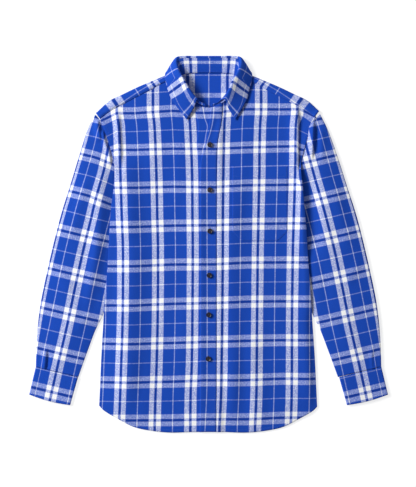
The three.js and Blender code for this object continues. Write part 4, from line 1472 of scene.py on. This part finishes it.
standSections = {
    "seam": [(0, 371.5, 2.5), (30, 371.1, 2.5), (50, 369.4, 2.8), (59.5, 364.8, 4.4), (61.6, 360, 5.6),
             (62, 354, 6), (61, 346, 6), (57.5, 338, 6.2), (51.5, 330, 6.4), (43, 321.2, 6.8),
             (32.5, 311.8, 7.4), (20, 304, 8.6), (6, 299, 9.4)],
    "top": [(0, 402.5, 7.6), (30.5, 402.5, 7.9), (53.5, 402, 9.2), (63.5, 399.5, 11.2), (66.4, 393.5, 13.8),
            (65.8, 384.5, 17.4), (62.6, 373.5, 20.4), (57.2, 363, 22), (49.7, 350, 22.8), (41.2, 335.2, 21.4),
            (31.2, 321.2, 17.4), (20.6, 309.2, 12.6), (6.6, 302.4, 11.6)],
    "lean": [0, 0, 0, 0, 0, 0, 0, 0, 0, 3, 4, 2, 0],
}
leafSections = {
    "fold": [(0, 407, 6.2), (30, 407, 6.4), (54, 406.8, 8), (66.5, 404.3, 11.8), (70.4, 397.2, 16),
             (69.6, 387.3, 20), (66.2, 376, 23.6), (60.6, 365, 25.6), (52.8, 351.6, 26.6),
             (44.2, 336.6, 25.2),
             (34.2, 322.8, 21.8), (23.8, 312.4, 17.6)],
    "turn": [(0, 402.5, 1.4), (30, 402.5, 1.4), (55, 402, 1.8), (70.5, 401.5, 3.4), (79, 392.6, 6),
             (85, 380.5, 10.5), (81, 369.5, 16), (76, 356.5, 18.5), (68, 342.5, 18.5), (58, 326.5, 17),
             (47, 311, 14.5), (31.5, 295, 11.6)],
    "edge": [(0, 373.6, 0.8), (30, 373.6, 0.8), (50, 374, 0.8), (64, 376.5, 0.8), (77, 377, 0.8),
             (91.5, 373, 3.6), (94, 360.5, 8), (91, 345, 8), (86.5, 330, 7.8), (80, 314.5, 7.6),
             (69, 298, 7.4), (47, 269.5, 7.4)],
    "lean": [0, 0, 0, 0, 0, 0, 0, 0, 0, 3, 6, 10.5],
}
collarPiece = {
    "leafGap": 0.5, "stationSteps": 8, "standSteps": 14, "leafSteps": 40, "bulge": 1.5,
    "standFlat": (0.40, 0.034), "standArea": 0.0085, "leafFlat": (0.42, 0.062), "leafArea": 0.018,
    "standRepeat": 82, "standShift": 2.2, "standLine": 9, "standLineRise": 0.019, "standLineLimit": 0.3,
    "standColumns": (1.4, 12.8), "leafInset": 1.6, "leafFrom": 16, "leafEdge": 38.8,
}
# Where the check falls on the leaf: repeats from the middle of the back round to the point,
# and how far from the fold its one light line runs.
leafCheck = {
    "station": [0, 1.5, 5.9, 8.2, 10.6, 11],
    "around": [0.5, 1, 1.5, 2, 2.5, 2.6],
    "lineStation": [0, 7.1, 7.4, 8.2, 9, 10.6, 11],
    "lineFromFold": [-13, -13, 4, 5.5, 8.5, 13.5, 15],
    "repeat": 68,
}


def curvePoint(points, t, centripetal=False):
    # a point on the smooth curve through a few points, t from 0 to 1
    points = np.asarray(points, float)
    last = len(points) - 1
    place = last * t
    k = min(int(place), last - 1)
    weight = place - k
    p1, p2 = points[k], points[k + 1]
    p0 = points[k - 1] if k > 0 else 2 * points[0] - points[1]
    p3 = points[k + 2] if k + 2 <= last else 2 * points[last] - points[last - 1]
    if centripetal:
        dt0, dt1, dt2 = (np.linalg.norm(b - a) ** 0.5 for a, b in ((p0, p1), (p1, p2), (p2, p3)))
        startSlope = ((p1 - p0) / dt0 - (p2 - p0) / (dt0 + dt1) + (p2 - p1) / dt1) * dt1
        endSlope = ((p2 - p1) / dt1 - (p3 - p1) / (dt1 + dt2) + (p3 - p2) / dt2) * dt1
    else:
        startSlope, endSlope = 0.5 * (p2 - p0), 0.5 * (p3 - p1)
    c2 = -3 * p1 + 3 * p2 - 2 * startSlope - endSlope
    c3 = 2 * p1 - 2 * p2 + startSlope + endSlope
    return p1 + weight * (startSlope + weight * (c2 + weight * c3))


def collarLine(sections, column, leans):
    # one line right round the collar, from the half on the wearer's left and its mirror image
    points = []
    for side in (-1, 1):
        half = [(side * (x + (lean if side > 0 and leans else 0)), y, z)
                for (x, y, z), lean in zip(sections[column], sections["lean"])]
        points += half[:0:-1] if side < 0 else half
    return np.array(points)


standSeam = collarLine(standSections, "seam", False)
standTop = collarLine(standSections, "top", True)
leafLines = [collarLine(leafSections, column, True) for column in ("fold", "turn", "edge")]
standLast, leafLast = len(standSections["lean"]) - 1, len(leafSections["lean"]) - 1


def onStand(line, station):
    return curvePoint(line, (station + standLast) / (2 * standLast))


def arcLengths(points, axis):
    steps = np.linalg.norm(np.diff(points, axis=axis), axis=2)
    pad = np.zeros_like(np.take(steps, [0], axis=axis))
    return np.cumsum(np.concatenate([pad, steps], axis=axis), axis=axis)


def standRows():
    stations = np.linspace(-standLast, standLast, 2 * standLast * collarPiece["stationSteps"] + 1)
    share = np.linspace(0, 1, collarPiece["standSteps"] + 1)
    rows = []
    for station in stations:
        seam, top = onStand(standSeam, station), onStand(standTop, station)
        row = between(seam[None, :], top[None, :], share[:, None])
        row[:, 2] += collarPiece["bulge"] * 4 * share * (1 - share) * (1 - abs(station) / standLast)
        rows.append(row)
    rows = np.array(rows)
    around = arcLengths(rows, 0)[:, [collarPiece["standSteps"] // 2]]
    around = around - around[len(around) // 2]
    up = arcLengths(rows, 1)
    u = 0.5 + (around - collarPiece["standShift"]) / collarPiece["standRepeat"] + 0 * up
    fromLine = np.abs(up[:, [-1]] - up - collarPiece["standLine"]) * collarPiece["standLineRise"]
    v = flannel["doubleOffset"][1] + np.minimum(fromLine, collarPiece["standLineLimit"])
    return rows, np.stack([u, v], axis=-1)


def leafRows():
    stations = np.linspace(-leafLast, leafLast, 2 * leafLast * collarPiece["stationSteps"] + 1)
    around = track(leafCheck["station"], leafCheck["around"])
    rows, check = [], []
    for station in stations:
        top = onStand(standTop, station)
        rise = top - onStand(standSeam, station)
        start = top + rise * collarPiece["leafGap"] / np.linalg.norm(rise)
        points = [curvePoint(line, (station + leafLast) / (2 * leafLast)) for line in leafLines]
        steps = np.linspace(0, 1, collarPiece["leafSteps"] + 1)
        row = np.array([curvePoint([start, *points], t, True) for t in steps])
        row[:, 2] = np.maximum(row[:, 2], collarWall / 2)
        rows.append(row)
        run = np.concatenate([[0], np.cumsum(np.linalg.norm(np.diff(row, axis=0), axis=1))])
        run -= np.interp(1 / 3, steps, run)
        u = float(around(abs(station)))
        u = u if station > 0 else 1 - u
        lineAt = np.interp(abs(station), leafCheck["lineStation"], leafCheck["lineFromFold"])
        v = flannel["doubleOffset"][1] + np.abs(run - lineAt) / leafCheck["repeat"]
        check.append(np.stack([u + 0 * run, v], axis=1))
    return np.array(rows), np.array(check)


standPoints, standCheck = standRows()
stand = clothShell("collarStandCloth", standPoints, collarWall, standCheck)
finishPiece(stand, "collar_stand")
stationEnd = standPoints.shape[0] - 1
stitchPiece("standStitches", [
    onCloth(standPoints, collarWall, gridLine((1, column), (stationEnd - 1, column), 260), -1)
    for column in collarPiece["standColumns"]
], seed=13)
leafPoints, leafUv = leafRows()
leaf = clothShell("collarLeafCloth", leafPoints, collarWall, leafUv)
finishPiece(leaf, "collar_leaf")
stationEnd = leafPoints.shape[0] - 1
right, left = collarPiece["leafInset"], stationEnd - collarPiece["leafInset"]
inner, outer = collarPiece["leafFrom"], collarPiece["leafEdge"]
stitchPiece("leafStitches", [
    onCloth(leafPoints, collarWall, gridLine((right, outer), (left, outer), 320), -1),
    onCloth(leafPoints, collarWall, gridLine((right, inner), (right, outer), 40), -1),
    onCloth(leafPoints, collarWall, gridLine((left, inner), (left, outer), 40), -1),
], seed=14)
print("collar made")


# Buttons.

buttonPiece = {
    "count": 6,
    "colour": (0.012, 0.008, 0.009, 1),
    "streak": (0.035, 0.024, 0.024, 1),
    "streakScale": 420,
    "roughness": (0.26, 0.44),
    "hole": 1.6,
    "threadBelow": 1.4,
    "threadInside": 0.5,
    "threadColour": (0.008, 0.014, 0.07, 1),
    "threadFleck": (0.02, 0.035, 0.13, 1),
}


def buttonMaterial():
    material, desk, shader = newMaterial("darkHorn")
    place = desk.node("ShaderNodeTexCoord")
    noise = desk.node("ShaderNodeTexNoise")
    noise.inputs["Scale"].default_value = buttonPiece["streakScale"]
    noise.inputs["Detail"].default_value = 4
    desk.join(place.outputs["Object"], noise.inputs["Vector"])
    share = desk.mapRange(noise.outputs[0], 0.42, 0.7, 0.0, 1.0)
    colour = desk.mixColour(share, buttonPiece["colour"], buttonPiece["streak"])
    desk.join(colour, shader.inputs["Base Color"])
    roughness = desk.mapRange(noise.outputs[0], 0.3, 0.7, *buttonPiece["roughness"])
    desk.join(roughness, shader.inputs["Roughness"])
    return material


darkHorn = buttonMaterial()
darkThread = threadMaterial("darkThread", buttonPiece["threadColour"], buttonPiece["threadFleck"])
hole = buttonPiece["hole"]
threads = []
for k in range(1, buttonPiece["count"] + 1):
    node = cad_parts[f"button_{k}"]
    node.data.materials.clear()
    node.data.materials.append(darkHorn)
    low, high = np.array(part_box(f"button_{k}")) / mm
    x, y = (low[:2] + high[:2]) / 2
    under, over = low[2] - buttonPiece["threadBelow"], high[2] - buttonPiece["threadInside"]
    for lean in (-1, 1):
        # up through one hole, across to the opposite one and down through it
        corners = [(-1, under), (-1, over), (1, over), (1, under)]
        threads.append(np.array([(x + hole * end, y + lean * hole * end, z) for end, z in corners]))
stitchPiece("buttonThread", threads, pitch=0.45, length=0.8, thickness=0.5, thread=darkThread, seed=15)
print("buttons finished")


print("done")
